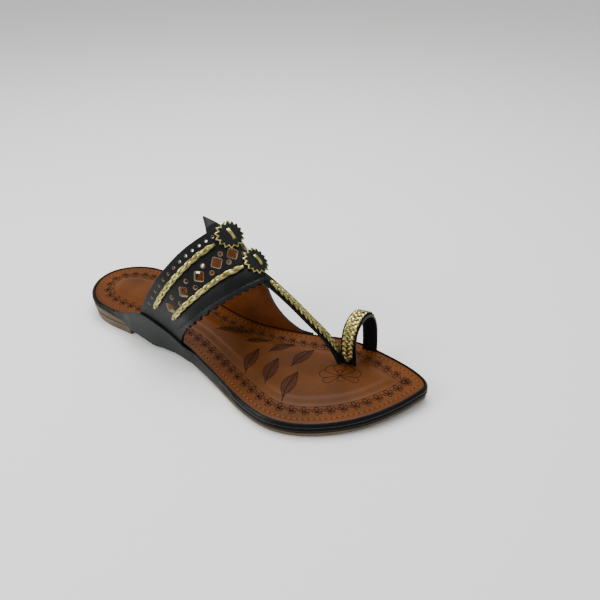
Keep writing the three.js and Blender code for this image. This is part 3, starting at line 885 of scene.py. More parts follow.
# Sole
@dataclass
class SoleLayer:
    """One closed layer of the sole, from its side profile and its top and bottom heights.

    The profile's rows are a share of the height and a distance out. A cap sets the height of the last row.
    """

    profile: Sequence[tuple[float, float]]
    bottom: Callable[[float], float]
    top: Callable[[float], float]
    stations: int = 150
    lanes: int = 6
    outward_of: Callable[[float, Side, float], float] = field(default=lambda turn, side, out: out)
    cap: Callable[[float], float] | None = None

    def side_point(self, turn: float, side: Side, row: int) -> Vector:
        """Find a point of the layer's side.

        Args:
            turn: place round the outline.
            side: side of the foot.
            row: row of the profile.

        Returns:
            The point there.
        """
        level, out = self.profile[row]
        flat = SOLE.outline(turn, side, self.outward_of(turn, side, out))
        if self.cap and row in (-1, len(self.profile) - 1):
            return Vector((flat.x, flat.y, self.cap(flat.x)))
        return Vector((flat.x, flat.y, mix(self.bottom(flat.x), self.top(flat.x), level)))

    def across(self, i: int, j: int, row: int) -> Vector:
        """Find a point of the top or bottom, between the two sides.

        Args:
            i: place along the foot.
            j: place across the foot.
            row: row of the profile where the face ends.

        Returns:
            The point there.
        """
        turn = math.pi * i / self.stations
        lateral, medial = (self.side_point(turn, side, row) for side in (Side.LATERAL, Side.MEDIAL))
        return lateral.lerp(medial, j / self.lanes)

    def around(self, i: int, j: int) -> Vector:
        """Find a point of the side, going once round the sole.

        Args:
            i: place round the sole.
            j: row of the profile.

        Returns:
            The point there.
        """
        half = i <= self.stations
        steps = i if half else 2 * self.stations - i
        return self.side_point(math.pi * steps / self.stations, Side.LATERAL if half else Side.MEDIAL, j)

    def mesh(self, top_point: PointAt | None = None) -> bmesh.types.BMesh:
        """Join the bottom, the side and the top.

        Args:
            top_point: points of the top, where it isn't flat from side to side.

        Returns:
            The closed layer.
        """
        bm = bmesh.new()
        add_grid(bm, self.stations, self.lanes, lambda i, j: self.across(i, j, 0))
        add_grid(bm, 2 * self.stations, len(self.profile) - 1, self.around)
        add_grid(bm, self.stations, self.lanes, top_point or (lambda i, j: self.across(i, j, -1)))
        weld(bm)
        return bm


@dataclass
class Outsole:
    """Thin leather outsole with a bevelled lower edge, thicker where it joins the heel.

    The edge's rows are a share of the height and a share of the rim.
    """

    inset: float = 0.2
    rim: float = 2.0
    edge: Sequence[tuple[float, float]] = ((0.12, 0.75), (0.35, 1.0), (0.9, 1.0), (1.0, 0.9))
    heel_rise: float = 2.5
    heel_fade: tuple[float, float] = (30.0, 56.0)

    def top(self, x: float) -> float:
        """Top of the outsole."""
        return SOLE.outsole_top(x) + self.heel_rise * (1 - smooth_step(*self.heel_fade, x))

    def build(self, finishes: Finishes) -> None:
        """Make the outsole.

        Args:
            finishes: the shoe's finishes.
        """
        profile = [(0.0, -self.inset), *((level, share * self.rim) for level, share in self.edge)]
        layer = SoleLayer(profile, SOLE.outsole_bottom, self.top)
        seat(make_piece("outsole_shell", layer.mesh(), [finishes.outsole]), "outsole_leather", "outsole")


@dataclass
class HeelBlock:
    """Low heel of stacked leather with an upright front face."""

    foot_rim: float = 0.8
    head_rim: float = 1.5
    stations: int = 60
    lanes: int = 8
    rows: int = 4

    def side_point(self, turn: float, side: Side, share: float) -> Vector:
        """Point of the heel's side at a share of its height."""
        flat = SOLE.outline(turn, side, mix(self.foot_rim, self.head_rim, share))
        return Vector((flat.x, flat.y, share * (SOLE.heel_lift - SOLE.gap)))

    def across(self, i: int, j: int, share: float) -> Vector:
        """Find a point between the two sides.

        Args:
            i: place from the back to the front face.
            j: place across the heel.
            share: share of the height.

        Returns:
            The point there.
        """
        turn = SOLE.turn_of(SOLE.breast_x) * i / self.stations
        lateral, medial = (self.side_point(turn, side, share) for side in (Side.LATERAL, Side.MEDIAL))
        return lateral.lerp(medial, j / self.lanes)

    def around(self, i: int, j: int) -> Vector:
        """Find a point of the side, from the lateral front round the back to the medial front.

        Args:
            i: place round the heel.
            j: row up the side.

        Returns:
            The point there.
        """
        steps = self.stations - i
        side = Side.LATERAL if steps >= 0 else Side.MEDIAL
        return self.side_point(SOLE.turn_of(SOLE.breast_x) * abs(steps) / self.stations, side, j / self.rows)

    def build(self, finishes: Finishes) -> None:
        """Make the heel.

        Args:
            finishes: the shoe's finishes.
        """
        bm = bmesh.new()
        add_grid(bm, self.stations, self.lanes, lambda i, j: self.across(i, j, 0.0))
        add_grid(bm, self.stations, self.lanes, lambda i, j: self.across(i, j, 1.0))
        add_grid(bm, 2 * self.stations, self.rows, self.around)
        add_grid(bm, self.lanes, self.rows, lambda i, j: self.across(self.stations, i, j / self.rows))
        weld(bm)
        seat(make_piece("heel_stack", bm, [finishes.heel]), "heel_leather", "heel_block")


@dataclass
class Rand:
    """Rounded black edge from the outsole up round the footbed, narrower under the side covers.

    The beads' rows are a share of the height and a share of the rim, for two beads with a groove between.
    """

    rim: float = 2.4
    waist_rim: float = 1.4
    above_top: float = 0.3
    lip: float = 0.05
    rows: int = 18
    beads: Sequence[tuple[float, float]] = (
        (0, 0.5), (0.22, 1), (0.42, 0.85), (0.5, 0.62), (0.58, 0.85), (0.78, 0.9), (1, 0.42))

    def bottom(self, x: float) -> float:
        """Underside of the rand."""
        return Outsole().top(x) + SOLE.gap

    def top(self, x: float) -> float:
        """Upper edge of the rand, round the footbed."""
        return SOLE.footbed_top(x) + self.above_top

    def reach(self, turn: float, side: Side, share: float) -> float:
        """How far the rand stands out."""
        covered = SideCover(side).covers(SOLE.edge(turn, side).x)
        return share * mix(self.rim, self.waist_rim, covered)

    def build(self, finishes: Finishes) -> None:
        """Make the rand.

        Args:
            finishes: the shoe's finishes.
        """
        share_at = through(self.beads)
        levels = [i / self.rows for i in range(self.rows + 1)]
        profile = [*((level, share_at(level)) for level in levels), (1.0, self.lip), (1.0, self.lip)]
        layer = SoleLayer(profile, self.bottom, self.top, outward_of=self.reach, cap=SOLE.rand_top)
        seat(make_piece("rand_edge", layer.mesh(), [finishes.rim]), "black_leather", "rand")


@dataclass
class Footbed:
    """Padded tan footbed with a rounded edge and orange edge stitching."""

    round_edge: float = 0.7
    round_share: float = 0.7
    leaf_tone: float = 0.5
    stations: int = 190
    lanes: int = 72
    stitch_inset: float = 3.4
    stitch_pitch: float = 3.3
    stitch_half: Spot = (1.15, 0.42, 0.3)
    # Half size of the dark bead painted as the shade in each awl hole
    awl_hole_half: Spot = (0.5, 0.5, 0.16)

    def build(self, finishes: Finishes) -> None:
        """Make the footbed and its stitching.

        Args:
            finishes: the shoe's finishes.
        """
        round_level = 1 - self.round_edge / SOLE.footbed_thickness
        rounded = (mix(round_level, 1, self.round_share), (self.round_share - 1) * self.round_edge)
        profile = ((0.0, 0.0), (round_level, 0.0), rounded, (1.0, -self.round_edge))
        layer = SoleLayer(profile, SOLE.footbed_bottom, SOLE.footbed_top, self.stations, self.lanes)

        def padded_top(i: int, j: int) -> Vector:
            """Point of the padded top."""
            flat = layer.across(i, j, -1)
            return SOLE.surface(flat.x, flat.y) if 0 < j < self.lanes else flat

        bm = layer.mesh(padded_top)
        inside = bm.verts.layers.float.new("inside_mm")
        scorch = bm.verts.layers.float.new("scorch")
        for vert in bm.verts:
            spot = vert.co / MM - LAYOUT_SHIFT
            vert[inside] = SOLE.inside(spot.x, spot.y)
            vert[scorch] = self.leaf_tone * max(leaf.shade(spot.x, spot.y) for leaf in LEAVES)
        piece = make_piece("footbed_pad", bm, [finishes.tan])
        seat(piece, "tan_leather", "footbed")
        self.stitch(finishes)

    def stitch(self, finishes: Finishes) -> None:
        """Sew orange stitches round the footbed, with a dark bead of painted shade for the awl hole between
        each two.

        Args:
            finishes: the shoe's finishes.
        """
        stitches, holes = bmesh.new(), bmesh.new()
        path = SOLE.inset_path(self.stitch_inset, self.stitch_pitch)
        for k, here in enumerate(path):
            along = (path[(k + 1) % len(path)] - path[k - 1]).normalized()
            across = Vector((-along.y, along.x, 0))
            between = here + along * self.stitch_pitch / 2
            for bm, spot, half in ((stitches, here, self.stitch_half), (holes, between, self.awl_hole_half)):
                station = Station(SOLE.surface(*spot), along.to_3d(), across, Vector((0, 0, 1)))
                add_bead(bm, station, half)
        seat(make_piece("footbed_stitches", stitches, [finishes.thread]), "tan_leather")
        # Dark beads of painted shade stand for the awl holes
        seat(make_piece("footbed_awl_hole_shade", holes, [finishes.scorch_and_shade]), "tan_leather")


# Ornament of the footbed
class Drawing:
    """Lines scorched into the footbed, drawn in plan."""

    def __init__(self, depth: float, sunk: float) -> None:
        """Take up a pen.

        Args:
            depth: half the pen's width.
            sunk: how far the middle of a line lies under the surface.
        """
        self.depth = depth
        self.sunk = sunk
        self.lines: list[list[Vector]] = []

    def line(self, points: Iterable[tuple[float, float]]) -> None:
        """Draw one line through points of the plan."""
        self.lines.append([SOLE.surface(x, y) - Vector((0, 0, self.sunk)) for x, y in points])

    def piece(self, name: str, finish: bpy.types.Material) -> bpy.types.Object:
        """Turn the lines into one piece.

        Args:
            name: the piece's name.
            finish: its material.

        Returns:
            The piece.
        """
        curve = bpy.data.curves.new(name, "CURVE")
        curve.dimensions = "3D"
        curve.bevel_depth = self.depth * MM
        curve.bevel_resolution = 1
        curve.use_fill_caps = True
        for points in self.lines:
            spline = curve.splines.new("POLY")
            spline.points.add(len(points) - 1)
            for target, point in zip(spline.points, points):
                target.co = (*placed(point), 1.0)
        holder = bpy.data.objects.new(name + "_lines", curve)
        bpy.context.scene.collection.objects.link(holder)
        graph = bpy.context.evaluated_depsgraph_get()
        mesh = bpy.data.meshes.new_from_object(holder.evaluated_get(graph))
        bpy.data.objects.remove(holder)
        bpy.data.curves.remove(curve)
        bm = bmesh.new()
        bm.from_mesh(mesh)
        weld(bm)
        bpy.data.meshes.remove(mesh)
        return make_piece(name, bm, [finish])


def turned(points: Plan, at: Vector, ahead: Vector) -> Plan:
    """Move a drawing to a place of the plan and turn it.

    Args:
        points: the drawing, with its first axis ahead.
        at: where its origin goes.
        ahead: direction of its first axis.

    Returns:
        The moved points.
    """
    left = Vector((-ahead.y, ahead.x))
    return [tuple(at + ahead * a + left * b) for a, b in points]


@dataclass(frozen=True)
class Leaf:
    """A pointed leaf on the footbed, from the foot of its stem to its tip.

    Stem, half width, bend and vein reach are shares of its length. The soft edge is in millimetres.
    """

    foot: tuple[float, float]
    tip: tuple[float, float]
    stem: float = 0.1
    half: float = 0.17
    bend: float = 0.05
    skew: float = 0.9
    pointed: float = 1.1
    tooth: float = 0.86
    steps: int = 18
    veins: int = 9
    vein_reach: float = 0.15
    vein_end: float = 0.88
    vein_bend: float = 0.6
    vein_fill: float = 0.8
    soft_edge: tuple[float, float] = (-0.6, 0.4)

    @property
    def length(self) -> float:
        """Length from stem to tip."""
        return (Vector(self.tip) - Vector(self.foot)).length

    @property
    def ahead(self) -> Vector:
        """Direction from stem to tip."""
        return (Vector(self.tip) - Vector(self.foot)).normalized()

    def half_width(self, along: float) -> float:
        """Half width of the blade at a length from the foot."""
        share = clamp01((along / self.length - self.stem) / (1 - self.stem))
        return self.half * self.length * math.sin(math.pi * share ** self.skew) ** self.pointed

    def midrib(self, along: float) -> float:
        """Sideways bend of the midrib at a length from the foot."""
        return self.bend * self.length * math.sin(math.pi * along / self.length)

    def shade(self, x: float, y: float) -> float:
        """Find how much of a point lies in the blade.

        Args:
            x: place along the shoe.
            y: place across the shoe.

        Returns:
            1 in the blade, 0 beside it, softly between.
        """
        out = Vector((x, y)) - Vector(self.foot)
        along = out.dot(self.ahead)
        if not 0 < along < self.length:
            return 0.0
        across = self.ahead.x * out.y - self.ahead.y * out.x - self.midrib(along)
        return 1 - smooth_step(*self.soft_edge, abs(across) - self.half_width(along))

    def edge(self, side: int) -> Plan:
        """Trace the toothed edge of one side.

        Args:
            side: 1 for the left side, -1 for the right.

        Returns:
            Points from the stem to the tip.
        """
        points = []
        for k in range(self.steps + 1):
            along = mix(self.stem, 1, k / self.steps) * self.length
            toothed = self.half_width(along) * (1.0 if k % 2 else self.tooth)
            points.append((along, self.midrib(along) + side * toothed))
        return points

    def vein(self, k: int, side: int) -> Plan:
        """Trace one vein.

        Args:
            k: its number from the stem.
            side: 1 for the left side, -1 for the right.

        Returns:
            Points from the midrib outwards.
        """
        reach = self.vein_reach * self.length
        start = mix(self.stem, self.vein_end, k / self.veins) * self.length
        end = side * self.vein_fill * self.half_width(start + reach)
        root = self.midrib(start)
        middle = (start + self.vein_bend * reach, root + self.vein_bend * end)
        return [(start, root), middle, (start + reach, self.midrib(start + reach) + end)]

    def draw(self, heavy: Drawing, fine: Drawing) -> None:
        """Draw the toothed outline, the midrib and the veins.

        Args:
            heavy: pen for the outline and the midrib.
            fine: pen for the veins.
        """
        foot, ahead = Vector(self.foot), self.ahead
        lengths = [self.length * k / self.steps for k in range(self.steps + 1)]
        midrib = [(along, self.midrib(along)) for along in lengths]
        for stroke in (self.edge(-1), self.edge(1), midrib):
            heavy.line(turned(stroke, foot, ahead))
        for k in range(1, self.veins):
            for side in (-1, 1):
                fine.line(turned(self.vein(k, side), foot, ahead))


LEAVES = (
    Leaf((110.1, -1.9), (128.4, 11.7)),
    Leaf((133.1, 0.6), (146.3, 12.1)),
    Leaf((152.4, 1.0), (162.0, 18.8)),
    Leaf((151.8, -22.3), (145.8, 0.0)),
    Leaf((168.4, -23.6), (161.7, -0.4)),
    Leaf((184.6, -28.5), (179.4, -4.0)),
    Leaf((172.7, -2.7), (176.3, 19.7)),
)


@dataclass(frozen=True)
class Petal:
    """Outline of a petal; the part behind its neighbours isn't drawn."""

    angle: float
    length: float
    half: float
    drawn: tuple[float, float] = (0.0, 1.0)
    root: tuple[float, float] = (0.0, 0.0)
    fullness: float = 0.8

    def outline(self, steps: int) -> Plan:
        """Trace the drawn part.

        Args:
            steps: number of strokes.

        Returns:
            Points in millimetres.
        """
        turn = math.radians(self.angle)
        ahead = Vector((math.cos(turn), math.sin(turn)))
        points = []
        for k in range(steps + 1):
            share = mix(*self.drawn, k / steps)
            along = self.length * math.sin(math.pi * share) ** self.fullness
            points.append((along, -self.half * math.sin(math.tau * share)))
        return turned(points, Vector(self.root), ahead)


SPRIG_ROOT = (0.0, -1.0)
SPRIG = (
    Petal(150.0, 3.4, 0.9, root=SPRIG_ROOT),
    Petal(95.0, 4.2, 1.1, root=SPRIG_ROOT),
    Petal(35.0, 4.0, 1.0, root=SPRIG_ROOT),
    Petal(-15.0, 2.8, 0.7, root=SPRIG_ROOT),
)
HOOK = [SPRIG_ROOT, (-0.9, -1.7), (-0.8, -2.8), (0.2, -3.2), (0.9, -2.6)]
FLOWER = (
    Petal(0.0, 9.8, 3.7),
    Petal(0.0, 5.2, 1.6),
    Petal(-42.0, 11.0, 3.9, (0.0, 0.74)),
    Petal(42.0, 11.0, 3.9, (0.26, 1.0)),
    Petal(-80.0, 13.0, 3.4, (0.0, 0.76)),
    Petal(80.0, 13.0, 3.4, (0.24, 1.0)),
    Petal(-116.0, 12.0, 2.3, (0.0, 0.82)),
    Petal(116.0, 12.0, 2.3, (0.18, 1.0)),
    Petal(180.0, 5.0, 2.5),
)


@dataclass
class Ornament:
    """Traditional line ornament: a border of curls, scattered leaves and an open flower.

    A pen is half its width and how far it sinks in.
    """

    heavy_pen: tuple[float, float] = (0.42, 0.27)
    fine_pen: tuple[float, float] = (0.36, 0.25)
    # Pen of the dark line at the cushion's foot, which is partly painted crease shade
    crease_pen: tuple[float, float] = (0.24, 0.16)
    border_inset: float = 9.8
    border_pitch: float = 7.6
    border_steps: int = 9
    crease_inset: float = 13.3
    crease_step: float = 2.0
    flower_at: tuple[float, float] = (203.0, 8.0)
    flower_ahead: float = 124.0
    flower_steps: int = 22

    def build(self, finishes: Finishes) -> None:
        """Scorch the ornament into the footbed.

        Args:
            finishes: the shoe's finishes.
        """
        heavy, fine, crease = Drawing(*self.heavy_pen), Drawing(*self.fine_pen), Drawing(*self.crease_pen)
        self.border(heavy)
        for leaf in LEAVES:
            leaf.draw(heavy, fine)
        self.flower(fine)
        # Thin dark line at the foot of the cushion's shoulder: partly the border's inner line, partly painted
        # shade of the crease there
        loop = SOLE.inset_path(self.crease_inset, self.crease_step)
        crease.line([tuple(spot) for spot in (*loop, loop[0])])
        seat(crease.piece("border_line_and_crease_shade", finishes.scorch_and_shade), "tan_leather")
        seat(heavy.piece("scorched_border", finishes.scorch_and_shade), "tan_leather")
        seat(fine.piece("scorched_lines", finishes.scorch_and_shade), "tan_leather")

    def border(self, pen: Drawing) -> None:
        """Draw the curls all round.

        Args:
            pen: the drawing that takes them.
        """
        path = SOLE.inset_path(self.border_inset, self.border_pitch)
        strokes = [*(petal.outline(self.border_steps) for petal in SPRIG), HOOK]
        for k, here in enumerate(path):
            ahead = (path[(k + 1) % len(path)] - path[k - 1]).normalized()
            for stroke in strokes:
                pen.line(turned(stroke, here, ahead))

    def flower(self, pen: Drawing) -> None:
        """Draw an open flower: a middle petal, overlapping petals beside it and two narrow leaves.

        Args:
            pen: the drawing that takes it.
        """
        facing = math.radians(self.flower_ahead)
        ahead = Vector((math.cos(facing), math.sin(facing)))
        for petal in FLOWER:
            pen.line(turned(petal.outline(self.flower_steps), Vector(self.flower_at), ahead))


# Upper
@dataclass(frozen=True)
class BandRow:
    """Rear and front edge of the band's outer face at one row over the foot."""

    rear: Spot
    front: Spot


BAND_ROWS = (
    BandRow((62, -29.5, 7), (98, -26, 4)),
    BandRow((71, -30.3, 28), (107, -27.5, 24)),
    BandRow((84.5, -30.5, 51), (122.5, -29, 42)),
    BandRow((96, -27.5, 68), (135, -23.5, 54.5)),
    BandRow((107.5, -17, 83.3), (146.5, -11.5, 63)),
    BandRow((118.5, 4, 93.2), (153, 4, 65.4)),
    BandRow((108.5, 22, 84), (139, 15, 58.5)),
    BandRow((96.5, 30, 67.5), (133, 22, 46)),
    BandRow((84.5, 32.5, 50), (134.5, 26.5, 32.5)),
    BandRow((71.5, 31, 28), (145.5, 30.5, 17.5)),
    BandRow((62.5, 29.5, 7), (168, 33, 4)),
)


@dataclass
class BandShape:
    """Surface of the instep band.

    Places on it are lengths over the foot, from the crown and medial positive, and back from the rear edge.
    """

    crown_share: float = 0.5
    wall: float = 2.4
    wall_lean: float = 0.12
    follows_sole_to: float = 30.0
    free_from: float = 56.0
    pattern_line: float = 19.0
    scallop_pitch: float = 6.2
    scallop_depth: float = 1.7
    scallop_start: float = -78.0
    scallop_count: int = 15
    samples: int = 240
    share_step: float = 0.004
    back_step: float = 1.0

    def __post_init__(self) -> None:
        """Lay the edges and measure the pattern line."""
        self.rear = SmoothLine([row.rear for row in BAND_ROWS])
        self.front = SmoothLine([row.front for row in BAND_ROWS])
        spots = [self.skin(i / self.samples, self.pattern_line) for i in range(self.samples + 1)]
        overs = running_lengths(spots)
        crown = overs[math.ceil(self.crown_share * self.samples)]
        self.overs = [over - crown for over in overs]

    @property
    def start(self) -> float:
        """Lateral foot of the band."""
        return self.overs[0]

    @property
    def end(self) -> float:
        """Medial foot of the band."""
        return self.overs[-1]

    @property
    def scallop_end(self) -> float:
        """Medial end of the scallops."""
        return self.scallop_start + self.scallop_count * self.scallop_pitch

    def width(self, share: float) -> float:
        """Width of the band before scallops, at a share of its rows."""
        return (self.rear.at(share) - self.front.at(share)).length

    def width_at(self, over: float) -> float:
        """Width of the band before scallops, at a length over the foot."""
        return self.width(self.share_at(over))

    def skin(self, share: float, back: float) -> Vector:
        """Find a point of the outer face, which follows the sole low down.

        Args:
            share: share of the band's rows.
            back: distance from the rear edge.

        Returns:
            The point there.
        """
        point = self.rear.at(share).lerp(self.front.at(share), back / self.width(share))
        side = Side.LATERAL if share < self.crown_share else Side.MEDIAL
        lean = self.wall_lean * max(0.0, point.z - SOLE.footbed_top(point.x))
        wall_y = SOLE.edge_y(point.x, side) + side.value * (SOLE.gap + self.wall + lean)
        point.y = mix(wall_y, point.y, smooth_step(self.follows_sole_to, self.free_from, point.z))
        return point

    def share_at(self, over: float) -> float:
        """Share of the rows at a length over the foot."""
        return share_in(self.overs, over)

    def station(self, over: float, back: float, raised: float = 0.0) -> Station:
        """Find a place: along runs over the foot, across runs to the rear edge.

        Args:
            over: length over the foot.
            back: distance from the rear edge.
            raised: height over the outer face.

        Returns:
            The place with its directions.
        """
        share = self.share_at(over)
        low, high = max(0.0, share - self.share_step), min(1.0, share + self.share_step)
        along = (self.skin(high, back) - self.skin(low, back)).normalized()
        ahead, behind = self.skin(share, back + self.back_step), self.skin(share, back - self.back_step)
        across = (ahead - behind).normalized()
        out = across.cross(along).normalized()
        return Station(self.skin(share, back) + out * raised, along, out.cross(along), out)

    def point(self, over: float, back: float, raised: float = 0.0) -> Vector:
        """Point raised outwards from the outer face."""
        return self.station(over, back, raised).middle

    def reach(self, over: float) -> float:
        """Find the front edge of the band, with its scallops.

        Args:
            over: length over the foot.

        Returns:
            Distance of the front edge from the rear edge.
        """
        full = self.width_at(over)
        places = (over - self.scallop_start) / self.scallop_pitch
        if not 0 < places < self.scallop_count:
            return full
        return full - self.scallop_depth * (1 - abs(math.sin(math.pi * places)))


BAND = BandShape()


@dataclass(frozen=True)
class BraidLine:
    """Line of a braid on the band, by its distance from the rear edge, and the place of its rosette."""

    name: str
    crown_back: float
    foot_back: float
    rosette_over: float
    rosette_back: float
    lateral_end: float = -72.0
    medial_end: float = 70.0

    def back(self, over: float) -> float:
        """Distance of the braid's middle from the band's rear edge."""
        end = self.lateral_end if over < 0 else self.medial_end
        return mix(self.crown_back, self.foot_back, clamp01(over / end))


REAR_BRAID = BraidLine("rear", 8.8, 9.5, -1.0, 8.8)
FRONT_BRAID = BraidLine("front", 30.0, 25.0, 1.5, 30.5)


@dataclass(frozen=True)
class Punch:
    """Tool that cuts one kind of hole, with a flared mouth so that the cut edge shows."""

    sides: int
    radius: float
    flare: float
    rounding: float = 0.0
    depth: float = 4.0
    corner_segments: int = 3

    def add(self, bm: bmesh.types.BMesh, station: Station) -> None:
        """Add the tool's shape at a place of the band.

        Args:
            bm: mesh that takes the shape.
            station: place on the outer face.
        """
        start = bmesh.ops.create_circle(
            bm, cap_ends=True, segments=self.sides, radius=self.radius,
            matrix=station.matrix((1, 1, 1)) @ Matrix.Translation((0, 0, -self.depth)))
        face = start["verts"][0].link_faces[0]
        if self.rounding:
            made = bmesh.ops.bevel(
                bm, geom=face.verts[:], offset=self.rounding * MM, segments=self.corner_segments, profile=0.5,
                affect="VERTICES", material=-1)
            face = made["verts"][0].link_faces[0]
        inner = None
        mouth = 1 + 2 * self.flare / self.radius
        for lift, grow in ((self.depth - self.flare, 1.0), (2 * self.flare, mouth)):
            made = bmesh.ops.extrude_face_region(bm, geom=[face])["geom"]
            if inner:
                bmesh.ops.delete(bm, geom=[inner], context="FACES_ONLY")
            face = next(part for part in made if isinstance(part, bmesh.types.BMFace))
            inner = face
            bmesh.ops.translate(bm, verts=face.verts[:], vec=station.out * lift * MM)
            bmesh.ops.scale(bm, verts=face.verts[:], vec=(grow, grow, grow),
                            space=Matrix.Translation(-face.calc_center_median()))


@dataclass
class InstepBand:
    """Black leather band over the instep, punched with diamonds and round holes, lined in brown."""

    foot_trim: float = 6.5
    medial_front_trim: float = 2.6
    columns: int = 250
    lanes: int = 54
    round_edge: float = 0.4
    sharp_degrees: float = 35.0
    middle: float = 4.0
    diamond: Punch = Punch(4, 4.0, 0.45, 1.0)
    diamond_places: Sequence[float] = (0, 11, 22, 35.5, 50.5, 68.5)
    hole: Punch = Punch(14, 1.2, 0.315)
    hole_spread: float = 3.5
    pin: Punch = Punch(10, 0.8, 0.225)
    pin_count: int = 13
    pin_back: float = 4.0
    pin_start: float = 12.5
    pin_pitch: float = 3.9
    pin_spread: float = 0.115
    seam_behind_edge: float = 4.4
    seam_depth: float = 0.45
    seam_width: float = 0.7
    seam_lead: tuple[float, float] = (-6.0, 2.0)
    seam_fade: float = 8.0
    stitch_half: Spot = (1.3, 0.3, 0.22)
    stitch_pitch: float = 2.9
    stitch_proud: float = 0.05
    plait_half: float = 2.1
    padding: float = 0.5
    padding_fullness: float = 0.8

    def over_at(self, i: int, lane_share: float) -> float:
        """Length over the foot of a column; the ends follow the footbed."""
        last = BAND.end - mix(self.foot_trim, self.medial_front_trim, lane_share)
        return mix(BAND.start + self.foot_trim, last, i / self.columns)

    def corner(self, i: int, j: int) -> Vector:
        """Find a corner of the outer face.

        Args:
            i: column over the foot.
            j: lane from the front edge.

        Returns:
            The corner's point.
        """
        share = 1 - j / self.lanes
        over = self.over_at(i, share)
        back = share * BAND.reach(over)
        return BAND.point(over, back, self.relief(over, back))

    def relief(self, over: float, back: float) -> float:
        """Raise the padding between the front plait and the seam, and sink the seam.

        Args:
            over: length over the foot.
            back: distance from the rear edge.

        Returns:
            Height over the plain face.
        """
        seam = BAND.width_at(over) - self.seam_behind_edge
        plait = FRONT_BRAID.back(over) + self.plait_half
        lead_in, lead_out = (BAND.scallop_start + lead for lead in self.seam_lead)
        sewn = smooth_step(lead_in, lead_out, over)
        sewn *= 1 - smooth_step(BAND.scallop_end - self.seam_fade, BAND.scallop_end, over)
        place = clamp01((back - plait) / (seam - plait))
        groove = math.exp(-((back - seam) / self.seam_width) ** 2)
        swell = math.sin(math.pi * place) ** self.padding_fullness
        return sewn * (self.padding * swell - self.seam_depth * groove)

    def punches(self) -> bmesh.types.BMesh:
        """Lay out all the holes of the band.

        Returns:
            The shapes to cut away.
        """
        bm = bmesh.new()
        for side in (-1, 1):
            places = [self.middle + side * place for place in self.diamond_places]
            for k, over in enumerate(places):
                if k or side < 0:
                    self.diamond.add(bm, BAND.station(over, BAND.pattern_line))
                if k:
                    between = (over + places[k - 1]) / 2
                    for spread in (-self.hole_spread, self.hole_spread):
                        self.hole.add(bm, BAND.station(between, BAND.pattern_line + spread))
            for k in range(self.pin_count):
                over = self.middle + side * (self.pin_start + self.pin_pitch * k + self.pin_spread * k * k)
                self.pin.add(bm, BAND.station(over, self.pin_back))
        bmesh.ops.recalc_face_normals(bm, faces=bm.faces[:])
        return bm

    def build(self, finishes: Finishes) -> None:
        """Make the band, its punched holes and its seam stitching.

        Args:
            finishes: the shoe's finishes.
        """
        bm = bmesh.new()
        add_grid(bm, self.columns, self.lanes, self.corner)
        band = make_piece("instep_band", bm, [finishes.black, finishes.lining])
        thicken(band, BAND.wall, self.round_edge, inner_slot=1)
        cutter = make_piece("punches", self.punches(), [finishes.raw_edge])
        cut = band.modifiers.new("punched", "BOOLEAN")
        cut.object = cutter
        cut.operation = "DIFFERENCE"
        cut.solver = "EXACT"
        cut.material_mode = "TRANSFER"
        freeze(band, self.sharp_degrees)
        bpy.data.objects.remove(cutter)
        seat(band, "black_leather", "upper")
        self.sew(finishes)

    def sew(self, finishes: Finishes) -> None:
        """Sew the line of stitches behind the scallops.

        Args:
            finishes: the shoe's finishes.
        """
        bm = bmesh.new()
        over = BAND.scallop_start
        while over < BAND.scallop_end:
            back = BAND.width_at(over) - self.seam_behind_edge
            add_bead(bm, BAND.station(over, back, self.stitch_proud - self.seam_depth), self.stitch_half)
            over += self.stitch_pitch
        seat(make_piece("band_stitches", bm, [finishes.black_thread]), "black_leather")


@dataclass
class RearTab:
    """Pointed leather tab behind the crown of the band."""

    at: float = -5.0
    depth: float = 1.7
    thickness: float = 1.4
    round_edge: float = 0.3
    root: float = 4.0
    reach: float = 10.5
    bend: float = 3.0
    drop: float = -3.5
    crease: float = 0.5
    half_width: float = 5.0
    tip_half_width: float = 0.5
    columns: int = 20
    lanes: int = 12

    def corner(self, i: int, j: int) -> Vector:
        """Find a corner of the tab's upper face.

        Args:
            i: column from the root to the tip.
            j: lane across the tab.

        Returns:
            The corner's point.
        """
        seat_at = BAND.station(self.at, 0.0, -self.depth + self.thickness / 2)
        reach = mix(-self.root, self.reach, i / self.columns)
        bent = clamp01((reach - self.bend) / (self.reach - self.bend))
        half = mix(self.half_width, self.tip_half_width, clamp01(reach / self.reach))
        side = mix(-1, 1, j / self.lanes)
        rise = bent * (self.drop + self.crease * (1 - side * side))
        return seat_at.point(reach, rise) + seat_at.along * half * side

    def build(self, finishes: Finishes) -> None:
        """Make the tab.

        Args:
            finishes: the shoe's finishes.
        """
        bm = bmesh.new()
        add_grid(bm, self.columns, self.lanes, self.corner, flip=True)
        tab = make_piece("rear_tab", bm, [finishes.black])
        thicken(tab, self.thickness, self.round_edge)
        seat(tab, "black_leather", "upper")


class StrapPath:
    """Centre line of a flat strap, with the direction of its width."""

    def __init__(self, points: Sequence[Spot], across_of: Callable[[Vector], Vector]) -> None:
        """Keep the line and the rule for its width."""
        self.line = SmoothLine(points)
        self.across_of = across_of

    def station(self, share: float, lift: float = 0.0) -> Station:
        """Find a place of the strap.

        Args:
            share: share of the length.
            lift: height over the centre line.

        Returns:
            The place with its directions.
        """
        along = self.line.tangent(share)
        across = self.across_of(along)
        out = along.cross(across).normalized()
        return Station(self.line.along(share) + out * lift, along, across, out)

    def stations(self, start: float, end: float, count: int, lift: float = 0.0) -> list[Station]:
        """Even places between two shares of the length."""
        return [self.station(mix(start, end, k / count), lift) for k in range(count + 1)]


# The toe's direction through the ring, and how far the T-strap's face turns
RING_ALONG = Vector((-0.97, -0.24, 0.0)).normalized()
T_ROLL = math.radians(28.0)


